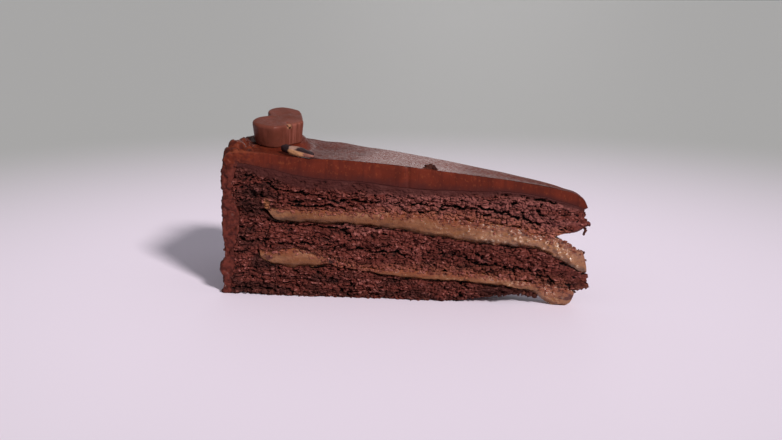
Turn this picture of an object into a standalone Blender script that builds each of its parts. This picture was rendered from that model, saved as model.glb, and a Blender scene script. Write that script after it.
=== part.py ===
# A thin wedge cut from a round chocolate and caramel layer cake, with a chocolate heart and a nut shard on
# top.
#
# Three sponge layers lie one on another with a caramel layer between each two. Chocolate frosting covers
# the top and the outer rim in one piece. Every layer runs through the whole wedge, from the front cut to
# the back cut.
#
# The wedge is worked out in radius, height and a place across it, all in millimetres: the radius is
# counted from the middle of the whole cake, where the wedge has its tip, and the place across runs from
# -1 at the front cut to +1 at the back cut. +X points to the tip, the front cut faces -Y, +Z is up.

import math

import bmesh
import bpy
import numpy as np
from mathutils import Matrix, Vector

MM = 0.001

# Driving dimensions of the whole cake and of the wedge, in millimetres and degrees
CAKE_RADIUS = 120.0
RIM_HEIGHT = 48.8
WEDGE_ANGLE = 22.5
HALF_ANGLE = math.radians(WEDGE_ANGLE / 2)
GAP = 0.3

# The wedge has sunk a little towards its back cut, and its layers wander on the way there
BACK_SINKS = 1.4
LAYER_WANDER = 1.5
WANDER_LENGTH = 24.0
WANDER_DEPTH = 15.0
WANDER_START = 3.0

# Half the width of the blunt tip, and the length over which the two cuts then close up
TIP_BLUNTNESS = 0.95
TIP_BLEND = 5.0
TIP_REACH = -1.5

# Height of each surface at the front cut, as (radius, height) pairs from the tip to the rim
FROSTING_TOP = (
    (-0.3, 33.3), (0.7, 35.2), (2.4, 36.7), (9.0, 38.8), (18.0, 40.4), (39.5, 43.1), (60.0, 45.3),
    (83.0, 47.0), (92.0, 47.3), (98.0, 47.7), (104.0, 48.6), (120.0, RIM_HEIGHT),
)
FROSTING_UNDERSIDE = (
    (0.9, 32.6), (5.4, 34.1), (12.0, 35.7), (18.0, 36.9), (41.0, 37.5), (57.0, 37.8), (70.0, 39.5),
    (91.0, 40.8), (103.0, 43.2), (110.0, 44.6), (116.0, 45.4),
)
TOP_SPONGE_NOSE = ((-1.2, 28.2), (0.7, 27.0), (2.5, 25.7), (6.6, 24.3), (11.0, 22.6))
UPPER_CARAMEL_TOP = (
    (-0.7, 15.0), (0.4, 18.2), (2.6, 19.3), (4.7, 20.6), (8.2, 22.3), (14.0, 23.2), (18.0, 24.6),
    (27.0, 26.4), (37.0, 27.3), (51.0, 28.9), (67.5, 29.6), (86.0, 29.7), (105.5, 30.2),
    (118.0, 30.4),
)
UPPER_CARAMEL_UNDERSIDE = (
    (-0.8, 11.2), (1.3, 11.8), (4.0, 13.4), (9.0, 16.0), (14.0, 18.4), (18.0, 19.4), (27.0, 19.7),
    (44.0, 21.5), (60.0, 23.9), (73.0, 25.0), (97.0, 25.6), (103.0, 26.4), (105.0, 27.8),
    (107.5, 30.0), (118.0, 30.2),
)
LOWER_CARAMEL_TOP = (
    (-1.5, 6.9), (2.3, 5.4), (7.5, 6.6), (15.6, 7.1), (27.0, 9.0), (42.0, 9.9), (60.0, 10.4),
    (71.0, 10.5), (80.0, 12.3), (87.0, 14.9), (93.0, 16.2), (107.6, 15.6), (118.0, 15.4),
)
LOWER_CARAMEL_UNDERSIDE = (
    (4.0, 0.0), (10.0, 0.0), (13.4, 2.3), (15.5, 4.0), (20.0, 5.2), (27.0, 6.4), (40.0, 7.1),
    (62.0, 7.8), (71.0, 9.2), (80.0, 10.8), (105.0, 11.3), (107.0, 12.2), (109.0, 15.0),
    (118.0, 15.1),
)
BOTTOM_SPONGE_UNDERSIDE = (
    (20.0, 3.8), (27.0, 2.8), (33.5, 1.8), (37.0, 1.1), (42.0, 0.0), (118.0, 0.0),
)

# Radius of the frosting's inner and outer face down the rim, as (height, radius) pairs from the bottom up
RIM_INNER = (
    (0.0, 118.1), (8.0, 117.3), (14.0, 116.8), (18.0, 116.3), (22.0, 114.7), (29.0, 114.6),
    (33.5, 116.1), (39.0, 116.4), (43.0, 115.2), (46.0, 114.2),
)
RIM_OUTER = (
    (0.0, 121.2), (5.0, 120.6), (8.5, 121.6), (13.0, 120.0), (22.0, 120.5), (34.0, CAKE_RADIUS),
    (41.0, 120.0), (50.0, 118.7),
)
RIM_CORNER_RADIUS = 2.2

# A low ridge of frosting along the top of the rim, where the spatula stopped
RIDGE_HEIGHT = 2.2
RIDGE_RADIUS = 116.6
RIDGE_WIDTH = 5.0
RIDGE_START = -0.88
RIDGE_GROWS = 0.2
RIDGE_HUMP_START = -0.4
RIDGE_HUMP = 0.9

# Where each layer begins at the tip and ends at the rim, at its underside and at its top
TOP_SPONGE_TIP = (-1.2, 0.7)
MIDDLE_SPONGE_TIP = (-1.5, -0.9)
BOTTOM_SPONGE_TIP = (20.5, 20.0)
UPPER_CARAMEL_ENDS = ((-0.8, -0.6), (102.4, 105.4))
LOWER_CARAMEL_ENDS = ((4.4, 2.4), (106.2, 106.4))

# Crags of the torn crumb, swells of the caramel and marks of the knife, each as its depth and its size along
# the layer and up it, in millimetres
CRUMB_RELIEF = (0.75, 6.0, 3.2)
CARAMEL_RELIEF = (0.35, 9.0, 6.0)
FROSTING_RELIEF = (0.3, 14.0, 7.0)
RIM_ROUGHNESS = (0.9, 7.0, 5.5)
TOP_ROUGHNESS = (0.2, 15.0, 11.0)

# A cut's relief is full where half the wedge is at least this wide, and at the tip only a share of that
BROAD_CUT = 2.5
LEAST_RELIEF = 0.15

# A seed for each surface's relief, so that it is the same each time
WANDER_SEED = 5
SPONGE_SEEDS = (20, 40, 60)
CARAMEL_SEEDS = (90, 110)
TOP_SEED = 130
RIM_SEED = 140
FROSTING_CUT_SEED = 150
BACK_CUT_SEED_STEP = 7

# The chocolate heart: a moulded praline with slightly sloping sides, lying tilted towards the front cut
HEART_HALF_WIDTH = 10.85
HEART_LENGTH_SHARE = 1.34
HEART_TIP_SHARE = 0.43
HEART_WAVES_ACROSS = (0.826, 0.174)
HEART_WAVES_ALONG = (0.812, 0.262, 0.079, 0.026)
HEART_THICKNESS = 7.8
HEART_TURN = -3.0
HEART_RADIUS = 104.5
HEART_ASIDE = 0.25
HEART_FOOT = 50.2
HEART_RISE_BACK = 0.191
HEART_RISE_RIM = 0.128
HEART_RINGS = ((0.88, 0.0), (0.91, 0.05), (0.985, 0.86), (0.97, 0.96), (0.92, 1.0))
HEART_SIDES = 48

# The swell of frosting that the heart is pressed into: its middle, its half sizes and its soft border
SWELL_RADIUS = 105.5
SWELL_HALF_LENGTH = 8.5
SWELL_HALF_WIDTH = 11.0
SWELL_BORDER = 0.5
SWELL_REACH = 1.3

# The nut shard that leans on the heart's foot and lies across the front edge of the top
SHARD_SIDES = 8
SHARD_WIDTH = 3.3
SHARD_THICKNESS = 2.5
SHARD_LEFT_END = (-99.4, -14.2, 49.8)
SHARD_RIGHT_END = (-86.6, -18.2, 48.3)
SHARD_RINGS = (
    (0.0, 0.5), (0.06, 0.85), (0.3, 1.0), (0.62, 0.95), (0.72, 0.82), (0.93, 0.74), (1.0, 0.42),
)

# Cells of each block along, across and through it
LAYER_CELLS = (54, 3, 6)
CARAMEL_CELLS = (50, 3, 2)
FROSTING_TOP_CELLS = 46
FROSTING_CORNER_CELLS = 4
FROSTING_RIM_CELLS = 16
FROSTING_ACROSS = 12
FROSTING_THROUGH = 2
TIP_CROWDING = 1.15

# A point counts as lying on a block's end face when its share is past this
ON_FACE = 0.99


def height_along(points, where):
    """Cubic line through the points, with the mean slope of the stretches beside it at each point."""
    at, value = np.array(points, dtype=float).T
    slope = np.gradient(value, at)
    left = np.clip(np.searchsorted(at, where) - 1, 0, len(at) - 2)
    width = at[left + 1] - at[left]
    part = np.clip((where - at[left]) / width, 0.0, 1.0)
    rise = 3 * part**2 - 2 * part**3
    lead = (part**3 - 2 * part**2 + part) * width * slope[left]
    trail = (part**3 - part**2) * width * slope[left + 1]
    return value[left] * (1 - rise) + value[left + 1] * rise + lead + trail


def ease(value):
    """0 below 0, 1 above 1, and a smooth step between."""
    value = np.clip(value, 0.0, 1.0)
    return value * value * (3 - 2 * value)


def random_corner(column, row, seed):
    """A fixed random number from -1 to 1 for each whole-number pair."""
    mixed = column * 374761393 + row * 668265263 + seed * 2147483647
    mixed = (mixed ^ (mixed >> 13)) * 1274126177
    mixed = (mixed ^ (mixed >> 16)) & 0xFFFFFF
    return mixed / 0x7FFFFF - 1.0


def ripple(along, up, seed):
    """Smooth noise: random numbers at whole-number corners, eased between each square's four corners."""
    column = np.floor(along).astype(np.int64)
    row = np.floor(up).astype(np.int64)
    side = ease(along - column)
    rise = ease(up - row)
    corners = [[random_corner(column + right, row + over, seed) for right in (0, 1)] for over in (0, 1)]
    low, high = [left * (1 - side) + right * side for left, right in corners]
    return low * (1 - rise) + high * rise


def roughness(kind, along, up, seed):
    """Two ripples, the second half as large and half as deep, for a depth and size in millimetres."""
    depth, length, height = kind
    coarse = ripple(along / length, up / height, seed)
    fine = ripple(2 * along / length, 2 * up / height, seed + 1)
    return depth * (coarse + 0.5 * fine) / 1.5


def rim_inner(height):
    return height_along(RIM_INNER, height)


def rim_outer(height):
    return height_along(RIM_OUTER, height)


def sponge_meets_frosting(radius):
    return height_along(FROSTING_UNDERSIDE, radius)


def top_sponge_top(radius):
    return sponge_meets_frosting(radius) - GAP


def top_sponge_underside(radius):
    """The caramel's top, except at the tip, where the sponge has lifted off it."""
    nose = height_along(TOP_SPONGE_NOSE, radius)
    return np.maximum(height_along(UPPER_CARAMEL_TOP, radius), nose) + GAP / 2


def middle_sponge_top(radius):
    """The caramel's underside, and past the caramel's end the top sponge's underside."""
    under = height_along(UPPER_CARAMEL_UNDERSIDE, radius) - GAP / 2
    return np.minimum(under, top_sponge_underside(radius) - GAP)


def middle_sponge_underside(radius):
    return height_along(LOWER_CARAMEL_TOP, radius) + GAP / 2


def bottom_sponge_top(radius):
    """The lower caramel's underside, and past the caramel's end the middle sponge's underside."""
    under = height_along(LOWER_CARAMEL_UNDERSIDE, radius) - GAP / 2
    return np.minimum(under, middle_sponge_underside(radius) - GAP)


def bottom_sponge_underside(radius):
    """Flat on the ground, and lifted off it towards the tip."""
    return np.maximum(height_along(BOTTOM_SPONGE_UNDERSIDE, radius), 0.0)


def heart_foot(x, y):
    """Height of the plane that the tilted heart stands on."""
    return HEART_FOOT + HEART_RISE_BACK * (y - HEART_ASIDE) - HEART_RISE_RIM * (x + HEART_RADIUS)


def ridge_height(radius, across):
    """The ridge starts a little behind the front cut, and has a higher hump beside the heart."""
    level = RIDGE_HEIGHT * ease((across - RIDGE_START) / RIDGE_GROWS)
    level = level + RIDGE_HUMP * ease((across - RIDGE_HUMP_START) / RIDGE_GROWS)
    return level * np.exp(-((radius - RIDGE_RADIUS) / RIDGE_WIDTH)**2)


def meet_heart(x, y, height):
    """The frosting rises to the heart's foot below it, less and less around it, and nowhere past it."""
    foot = heart_foot(x, y) - GAP
    away = np.hypot((x + SWELL_RADIUS) / SWELL_HALF_LENGTH, (y - HEART_ASIDE) / SWELL_HALF_WIDTH)
    below = 1 - ease((away - 1 + SWELL_BORDER / 2) / SWELL_BORDER)
    risen = height + below * np.maximum(foot - height, 0.0)
    return np.where(away < SWELL_REACH, np.minimum(risen, foot), risen)


def settle(radius, across, height):
    """How far a point sinks: not at all at the front cut, and most at the back cut's rim."""
    lean = BACK_SINKS * (height / RIM_HEIGHT) * (radius / CAKE_RADIUS)
    inside = np.clip(np.sin(math.pi * np.clip(height / RIM_HEIGHT, 0.0, 1.0)), 0.0, 1.0)
    along = radius / WANDER_LENGTH + WANDER_START
    wander = LAYER_WANDER * inside * ripple(along, height / WANDER_DEPTH, WANDER_SEED)
    return (across + 1) / 2 * (lean + wander)


def place(radius, across, height):
    """Turns radius, place across and height into x, y and z."""
    turn = across * HALF_ANGLE
    blunt = TIP_BLUNTNESS * np.exp(-(radius - TIP_REACH) / TIP_BLEND)
    x = -radius * np.cos(turn)
    y = radius * np.sin(turn) + across * blunt
    return x, y, height - settle(radius, across, height)


def cut_relief(kind, radius, across, height, seed):
    """Moves the points of the two cut faces in or out, less where the wedge is narrow."""
    breadth = np.clip(radius * math.sin(HALF_ANGLE) / BROAD_CUT, LEAST_RELIEF, 1.0)
    front = roughness(kind, radius, height, seed)
    back = roughness(kind, radius, height, seed + BACK_CUT_SEED_STEP)
    depth = np.where(across < 0, -front, back)
    return np.where(np.abs(across) > ON_FACE, depth * breadth, 0.0)


def material(name, colour, rough):
    """A plain opaque finish."""
    made = bpy.data.materials.new(name)
    made.use_nodes = True
    shader = made.node_tree.nodes["Principled BSDF"]
    shader.inputs["Base Color"].default_value = (*colour, 1.0)
    shader.inputs["Roughness"].default_value = rough
    shader.inputs["Metallic"].default_value = 0.0
    return made


def unit_block(cells):
    """A closed box of 1 x 1 x 1 made of cells: a grid is laid down and extruded upwards, step by step."""
    along, across, through = cells
    bm = bmesh.new()
    bmesh.ops.create_grid(bm, x_segments=along, y_segments=across, size=0.5)
    bmesh.ops.translate(bm, verts=bm.verts, vec=(0.5, 0.5, 0.0))
    top = list(bm.faces)
    for step in range(through):
        grown = bmesh.ops.extrude_face_region(bm, geom=top)
        if step > 0:
            bmesh.ops.delete(bm, geom=top, context="FACES")
        lifted = [item for item in grown["geom"] if isinstance(item, bmesh.types.BMVert)]
        top = [item for item in grown["geom"] if isinstance(item, bmesh.types.BMFace)]
        bmesh.ops.translate(bm, verts=lifted, vec=(0.0, 0.0, 1.0 / through))
    return bm


def block_places(bm):
    """Where each vertex of a unit block lies along, across (-1 to 1) and through it."""
    spots = np.array([vertex.co for vertex in bm.verts], dtype=float)
    return spots[:, 0], 2 * spots[:, 1] - 1, spots[:, 2]


def finish_object(name, bm, finish, parent, smooth_angle):
    """Points the faces outwards, so that the volume counts as positive, and makes the named object."""
    bmesh.ops.recalc_face_normals(bm, faces=bm.faces)
    if bm.calc_volume(signed=True) < 0:
        bmesh.ops.reverse_faces(bm, faces=bm.faces)
    mesh = bpy.data.meshes.new(name)
    bm.to_mesh(mesh)
    bm.free()
    mesh.materials.append(finish)
    mesh.shade_smooth()
    mesh.set_sharp_from_angle(angle=math.radians(smooth_angle))
    made = bpy.data.objects.new(name, mesh)
    bpy.context.scene.collection.objects.link(made)
    made.parent = parent
    return made


def move_vertices(bm, x, y, z):
    for vertex, spot in zip(bm.verts, np.stack([x, y, z], axis=1) * MM):
        vertex.co = spot


def layer(name, cells, underside, top, tip, rim, relief, seed, finish, parent):
    """A layer between two height lines, as deep as the wedge; tip and rim give its ends at each level."""
    bm = unit_block(cells)
    along, across, through = block_places(bm)
    along = along**TIP_CROWDING
    first = tip[0] + (tip[1] - tip[0]) * through
    radius = first + (rim(through) - first) * along
    low = underside(radius)
    height = low + (top(radius) - low) * through
    x, y, z = place(radius, across, height)
    y = y + cut_relief(relief, radius, across, height, seed)
    move_vertices(bm, x, y, np.maximum(z, 0.0))
    return finish_object(name, bm, finish, parent, 35)


def against_rim(underside, top):
    """Rim end of a sponge layer: the frosting's inner face less the gap, at the height of each point."""
    nearest = np.array([RIM_INNER[-1][1]])
    low = float(underside(nearest)[0])
    high = float(top(nearest)[0])
    return lambda through: rim_inner(low + (high - low) * through) - GAP


def build_sponges(parent):
    crumb = material("chocolate_sponge", (0.075, 0.022, 0.018), 0.9)
    stack = (
        ("sponge_top", top_sponge_underside, top_sponge_top, TOP_SPONGE_TIP),
        ("sponge_middle", middle_sponge_underside, middle_sponge_top, MIDDLE_SPONGE_TIP),
        ("sponge_bottom", bottom_sponge_underside, bottom_sponge_top, BOTTOM_SPONGE_TIP),
    )
    for seed, (name, underside, top, tip) in zip(SPONGE_SEEDS, stack):
        rim = against_rim(underside, top)
        layer(name, LAYER_CELLS, underside, top, tip, rim, CRUMB_RELIEF, seed, crumb, parent)


def thin_out(end):
    """Rim end of a caramel layer: straight from its underside's radius to its top's."""
    return lambda through: end[0] + (end[1] - end[0]) * through


def build_caramels(parent):
    caramel = material("caramel", (0.22, 0.085, 0.042), 0.35)
    stack = (
        ("caramel_upper", UPPER_CARAMEL_UNDERSIDE, UPPER_CARAMEL_TOP, UPPER_CARAMEL_ENDS),
        ("caramel_lower", LOWER_CARAMEL_UNDERSIDE, LOWER_CARAMEL_TOP, LOWER_CARAMEL_ENDS),
    )
    for seed, (name, low_line, high_line, ends) in zip(CARAMEL_SEEDS, stack):
        layer(name, CARAMEL_CELLS,
              lambda radius: np.maximum(height_along(low_line, radius) + GAP / 2, 0.0),
              lambda radius: height_along(high_line, radius) - GAP / 2,
              ends[0], thin_out(ends[1]), CARAMEL_RELIEF, seed, caramel, parent)


def frosting_paths():
    """Outer and inner line of the frosting: from the tip along the top, round the corner, down the rim."""
    top_share = (np.arange(FROSTING_TOP_CELLS + 1) / FROSTING_TOP_CELLS)**TIP_CROWDING
    corner_share = np.arange(1, FROSTING_CORNER_CELLS) / FROSTING_CORNER_CELLS
    rim_share = np.arange(FROSTING_RIM_CELLS + 1) / FROSTING_RIM_CELLS
    corner_top = rim_outer(np.array([RIM_HEIGHT]))[0] - RIM_CORNER_RADIUS
    corner_side = RIM_HEIGHT - RIM_CORNER_RADIUS
    quarter = corner_share * math.pi / 2

    outer_radius = FROSTING_TOP[0][0] + (corner_top - FROSTING_TOP[0][0]) * top_share
    outer_height = height_along(FROSTING_TOP, outer_radius)
    down = corner_side * (1 - rim_share)
    outer = np.concatenate([
        np.stack([outer_radius, outer_height], axis=1),
        np.stack([corner_top + RIM_CORNER_RADIUS * np.sin(quarter),
                  corner_side + RIM_CORNER_RADIUS * np.cos(quarter)], axis=1),
        np.stack([rim_outer(down), down], axis=1)])

    inner_corner_height = float(sponge_meets_frosting(np.array([RIM_INNER[-1][1]]))[0])
    inner_corner_radius = float(rim_inner(np.array([inner_corner_height]))[0])
    inner_start = FROSTING_UNDERSIDE[0][0]
    inner_top_end = inner_corner_radius - RIM_CORNER_RADIUS / 2
    inner_rim_start = inner_corner_height - RIM_CORNER_RADIUS / 2
    inner_radius = inner_start + (inner_top_end - inner_start) * top_share
    inner_down = inner_rim_start * (1 - rim_share)
    before = np.clip(2 * corner_share, 0.0, 1.0)
    after = np.clip(2 * corner_share - 1, 0.0, 1.0)
    corner_radius = inner_top_end + (inner_corner_radius - inner_top_end) * before
    corner_height = inner_corner_height + (inner_rim_start - inner_corner_height) * after
    inner = np.concatenate([
        np.stack([inner_radius, sponge_meets_frosting(inner_radius)], axis=1),
        np.stack([corner_radius, np.minimum(corner_height, sponge_meets_frosting(corner_radius))], axis=1),
        np.stack([rim_inner(inner_down), inner_down], axis=1)])
    return outer, inner


def build_frosting(parent):
    """The frosting's L-shaped section, carried across the wedge."""
    outer, inner = frosting_paths()
    stations = len(outer) - 1
    bm = unit_block((stations, FROSTING_ACROSS, FROSTING_THROUGH))
    along, across, through = block_places(bm)
    station = np.rint(along * stations).astype(int)
    radius = inner[station, 0] * (1 - through) + outer[station, 0] * through
    height = inner[station, 1] * (1 - through) + outer[station, 1] * through

    outside = through > ON_FACE
    top_face = outside & (station < FROSTING_TOP_CELLS + FROSTING_CORNER_CELLS)
    rim_face = outside * ease((radius - RIDGE_RADIUS) / RIM_CORNER_RADIUS)
    ridge = ridge_height(radius, across)
    sideways = radius * across * HALF_ANGLE
    waves = roughness(TOP_ROUGHNESS, radius, sideways, TOP_SEED) * ease(radius / TOP_ROUGHNESS[1])
    x, y, z = place(radius, across, height)
    rough_rim = roughness(RIM_ROUGHNESS, sideways, height, RIM_SEED) * ease((across + 1) / RIDGE_GROWS)
    x = x - rim_face * rough_rim
    y = y + cut_relief(FROSTING_RELIEF, radius, across, height, FROSTING_CUT_SEED)
    z = z + top_face * (ridge + waves)
    z = np.where(top_face, meet_heart(x, y, z), z)
    z = np.where(height <= 0.0, 0.0, z)
    move_vertices(bm, x, y, z)
    finish_object("frosting", bm, material("chocolate_frosting", (0.13, 0.035, 0.02), 0.45), parent, 35)


def heart_outline():
    """Heart curve made of a few waves, its tip round and shortened, pointing to -Y."""
    turn = np.arange(HEART_SIDES) * 2 * math.pi / HEART_SIDES
    x = HEART_WAVES_ACROSS[0] * np.sin(turn) - HEART_WAVES_ACROSS[1] * np.sin(3 * turn)
    y = HEART_WAVES_ALONG[0] * np.cos(turn)
    for number, size in enumerate(HEART_WAVES_ALONG[1:]):
        y = y - size * np.cos((number + 2) * turn)
    y = np.where(y < 0, y * HEART_TIP_SHARE, y)
    return np.stack([x, y * HEART_LENGTH_SHARE], axis=1) * HEART_HALF_WIDTH


def ringed_solid(rings):
    """A closed solid: the first ring is filled, and its face is extruded to each of the others in turn."""
    bm = bmesh.new()
    face = bm.faces.new([bm.verts.new(spot) for spot in rings[0] * MM])
    for number, ring in enumerate(rings[1:]):
        grown = bmesh.ops.extrude_face_region(bm, geom=[face])
        if number > 0:
            bmesh.ops.delete(bm, geom=[face], context="FACES_ONLY")
        face = next(item for item in grown["geom"] if isinstance(item, bmesh.types.BMFace))
        for vertex in face.verts:
            before = np.array(vertex.co) / MM
            nearest = np.argmin(np.linalg.norm(rings[number] - before, axis=1))
            vertex.co = ring[nearest] * MM
    return bm


def build_heart(parent):
    outline = heart_outline()
    rings = [np.column_stack([outline * share, np.full(HEART_SIDES, HEART_THICKNESS * level)])
             for share, level in HEART_RINGS]
    chocolate = material("milk_chocolate", (0.13, 0.045, 0.034), 0.4)
    heart = finish_object("chocolate_heart", ringed_solid(rings), chocolate, parent, 30)
    upward = Vector((HEART_RISE_RIM, -HEART_RISE_BACK, 1.0)).normalized()
    tip = Vector((math.cos(math.radians(HEART_TURN)), math.sin(math.radians(HEART_TURN)), 0.0))
    away = -(tip - upward * tip.dot(upward)).normalized()
    heart.location = Vector((-HEART_RADIUS, HEART_ASIDE, HEART_FOOT)) * MM
    heart.rotation_euler = Matrix((away.cross(upward), away, upward)).transposed().to_euler()


def build_shard(parent):
    """A split nut: an eight-sided bar with blunt ends, thicker at its left end."""
    turn = (np.arange(SHARD_SIDES) + 0.5) * 2 * math.pi / SHARD_SIDES
    section = np.stack([np.cos(turn) * SHARD_WIDTH / 2, np.sin(turn) * SHARD_THICKNESS / 2], axis=1)
    left = Vector(SHARD_LEFT_END)
    right = Vector(SHARD_RIGHT_END)
    length = (right - left).length
    rings = [np.column_stack([section * share, np.full(SHARD_SIDES, length * (level - 0.5))])
             for level, share in SHARD_RINGS]
    nut = material("split_nut", (0.28, 0.13, 0.07), 0.6)
    shard = finish_object("nut_shard", ringed_solid(rings), nut, parent, 30)
    shard.location = (left + right) / 2 * MM
    shard.rotation_euler = (right - left).to_track_quat("Z", "Y").to_euler()


def stand_on_origin(parent):
    """Moves the slice so that the middle of its underside is at the origin."""
    bpy.context.view_layer.update()
    pieces = parent.children
    spots = np.array([made.matrix_world @ vertex.co for made in pieces for vertex in made.data.vertices])
    middle = (spots.min(axis=0) + spots.max(axis=0)) / 2
    parent.location = (-middle[0], -middle[1], 0.0)


def main():
    for old in list(bpy.data.objects):
        bpy.data.objects.remove(old, do_unlink=True)
    slice_middle = bpy.data.objects.new("cake_slice", None)
    bpy.context.scene.collection.objects.link(slice_middle)
    build_sponges(slice_middle)
    build_caramels(slice_middle)
    build_frosting(slice_middle)
    build_heart(slice_middle)
    build_shard(slice_middle)
    stand_on_origin(slice_middle)


main()
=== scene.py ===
# A slice of chocolate and caramel layer cake: torn sponge, moist caramel, satin frosting, a chocolate heart
# and a nut shard.
#
# Every layer is worked out, as its solid is, in radius, place across and height. The radius is counted from
# the middle of the whole cake, where the slice has its tip. The place across runs from -1 at the front cut to
# +1 at the back cut. Sizes are in millimetres until a piece's points go into its mesh.

import math

import bpy
import numpy as np
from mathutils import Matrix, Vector


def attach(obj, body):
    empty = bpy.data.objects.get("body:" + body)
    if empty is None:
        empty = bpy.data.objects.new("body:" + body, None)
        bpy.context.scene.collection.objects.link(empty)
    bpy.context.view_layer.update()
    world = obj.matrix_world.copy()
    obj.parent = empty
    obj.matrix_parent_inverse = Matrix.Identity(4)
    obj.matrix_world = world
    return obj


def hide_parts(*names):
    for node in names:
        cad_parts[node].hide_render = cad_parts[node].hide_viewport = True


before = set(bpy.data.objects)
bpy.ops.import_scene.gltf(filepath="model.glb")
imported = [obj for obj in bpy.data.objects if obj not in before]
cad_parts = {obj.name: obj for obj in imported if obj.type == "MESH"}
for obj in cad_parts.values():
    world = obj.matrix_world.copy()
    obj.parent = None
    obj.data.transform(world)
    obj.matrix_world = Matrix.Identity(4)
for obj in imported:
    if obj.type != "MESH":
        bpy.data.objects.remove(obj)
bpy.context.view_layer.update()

MM = 0.001

# The whole cake and the wedge, in millimetres and degrees
CAKE_RADIUS = 120.0
RIM_HEIGHT = 48.8
WEDGE_ANGLE = 22.5
HALF_ANGLE = math.radians(WEDGE_ANGLE / 2)

# The middle of the whole cake, seen from the middle of the slice's underside
CAKE_MIDDLE = np.array([60.064, -0.024, 0.0])

# Neighbouring layers nearly touch; each stops this far from their common line
SEAM = 0.04

# The wedge has sunk a little towards its back cut, and its layers wander on the way there
BACK_SINKS = 1.4
LAYER_WANDER = 1.5
WANDER_LENGTH = 24.0
WANDER_DEPTH = 15.0
WANDER_START = 3.0
WANDER_SEED = 5

# Half the width of the blunt tip, and the length over which the two cuts then close up
TIP_BLUNTNESS = 0.95
TIP_BLEND = 5.0
TIP_REACH = -1.5

# Points at the cuts have this place across or more, and the back cut has its own random numbers
ON_CUT = 0.999
BACK_CUT_SEED_STEP = 7

# A cut's relief is full where half the wedge is at least this wide, and at the tip only a share of that
BROAD_CUT = 2.5
LEAST_RELIEF = 0.15

# Cells along a layer crowd a little towards the tip
TIP_CROWDING = 1.1

# Height of each surface at the front cut, as (radius, height) pairs from the tip to the rim
FROSTING_TOP = (
    (-0.3, 33.3), (0.7, 35.2), (2.4, 36.7), (9.0, 38.8), (18.0, 40.4), (39.5, 43.1), (60.0, 45.3),
    (83.0, 47.0), (92.0, 47.3), (98.0, 47.7), (104.0, 48.6), (120.0, RIM_HEIGHT),
)
FROSTING_UNDERSIDE = (
    (0.9, 32.6), (5.4, 34.1), (12.0, 35.7), (18.0, 36.9), (41.0, 37.5), (57.0, 37.8), (70.0, 39.5),
    (91.0, 40.8), (103.0, 43.2), (110.0, 44.6), (116.0, 45.4),
)
TOP_SPONGE_NOSE = ((-1.2, 28.2), (0.7, 27.0), (2.5, 25.7), (6.6, 24.3), (11.0, 22.6))
UPPER_CARAMEL_TOP = (
    (-0.7, 15.0), (0.4, 18.2), (2.6, 19.3), (4.7, 20.6), (8.2, 22.3), (14.0, 23.2), (18.0, 24.6),
    (27.0, 26.4), (37.0, 27.3), (51.0, 28.9), (67.5, 29.6), (86.0, 29.7), (105.5, 30.2), (118.0, 30.4),
)
UPPER_CARAMEL_UNDERSIDE = (
    (-0.8, 11.2), (1.3, 11.8), (4.0, 13.4), (9.0, 16.0), (14.0, 18.4), (18.0, 19.4), (27.0, 19.7),
    (44.0, 21.5), (60.0, 23.9), (73.0, 25.0), (97.0, 25.6), (103.0, 26.4), (105.0, 27.8), (107.5, 30.0),
    (118.0, 30.2),
)
LOWER_CARAMEL_TOP = (
    (-1.5, 6.9), (2.3, 5.4), (7.5, 6.6), (15.6, 7.1), (27.0, 9.0), (42.0, 9.9), (60.0, 10.4), (71.0, 10.5),
    (80.0, 12.3), (87.0, 14.9), (93.0, 16.2), (107.6, 15.6), (118.0, 15.4),
)
LOWER_CARAMEL_UNDERSIDE = (
    (4.0, 0.0), (10.0, 0.0), (13.4, 2.2), (15.5, 3.7), (20.0, 4.7), (27.0, 5.9), (40.0, 6.9), (62.0, 7.8),
    (71.0, 9.2), (80.0, 10.8), (105.0, 11.3), (107.0, 12.2), (109.0, 15.0), (118.0, 15.1),
)
BOTTOM_SPONGE_UNDERSIDE = ((20.0, 3.8), (27.0, 2.8), (33.5, 1.8), (37.0, 1.1), (42.0, 0.0), (118.0, 0.0))

# Radius of the frosting's inner and outer face down the rim, as (height, radius) pairs from the bottom up
RIM_INNER = (
    (0.0, 118.1), (8.0, 117.3), (14.0, 116.8), (18.0, 116.3), (22.0, 114.7), (29.0, 114.6), (33.5, 116.1),
    (39.0, 116.4), (43.0, 115.2), (46.0, 114.2),
)
RIM_OUTER = (
    (0.0, 121.2), (5.0, 120.6), (8.5, 121.6), (13.0, 120.0), (22.0, 120.5), (34.0, CAKE_RADIUS),
    (41.0, 120.0), (50.0, 118.7),
)
RIM_CORNER_RADIUS = 2.2

# Reliefs, each as its depth and its size along the layer and up it
CRUMB_SWELL = (0.75, 6.0, 3.2)
CARAMEL_SWELL = (0.35, 9.0, 6.0)
CARAMEL_DRAG = (0.35, 4.5, 1.5)
FROSTING_SWELL = (0.3, 14.0, 7.0)
FROSTING_DRAG = (0.12, 2.5, 6.0)
RIM_SWELL = (0.9, 7.0, 5.5)
TOP_SWELL = (0.2, 15.0, 11.0)
RAGGED_CARAMEL = (0.28, 2.6, 4.0)
RAGGED_FROSTING = (0.15, 3.2, 4.0)
RIM_INNER_WOBBLE = ((0.35, 1.7, 1.0), (0.2, 0.7, 1.0))

# A relief's finer ripple is this share of the coarse one, and this many times as short where layers meet
FINE_SHARE = 0.5
RAGGED_FINER = 2.3

# Large numbers that mix a corner's column, row and seed, and the bits that are kept of the mixture
MIX_COLUMN = 374761393
MIX_ROW = 668265263
MIX_SEED = 2147483647
MIX_AGAIN = 1274126177
KEPT_BITS = 0xFFFFFF

# Farther than any distance that is looked for
FAR = 999.0


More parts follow.
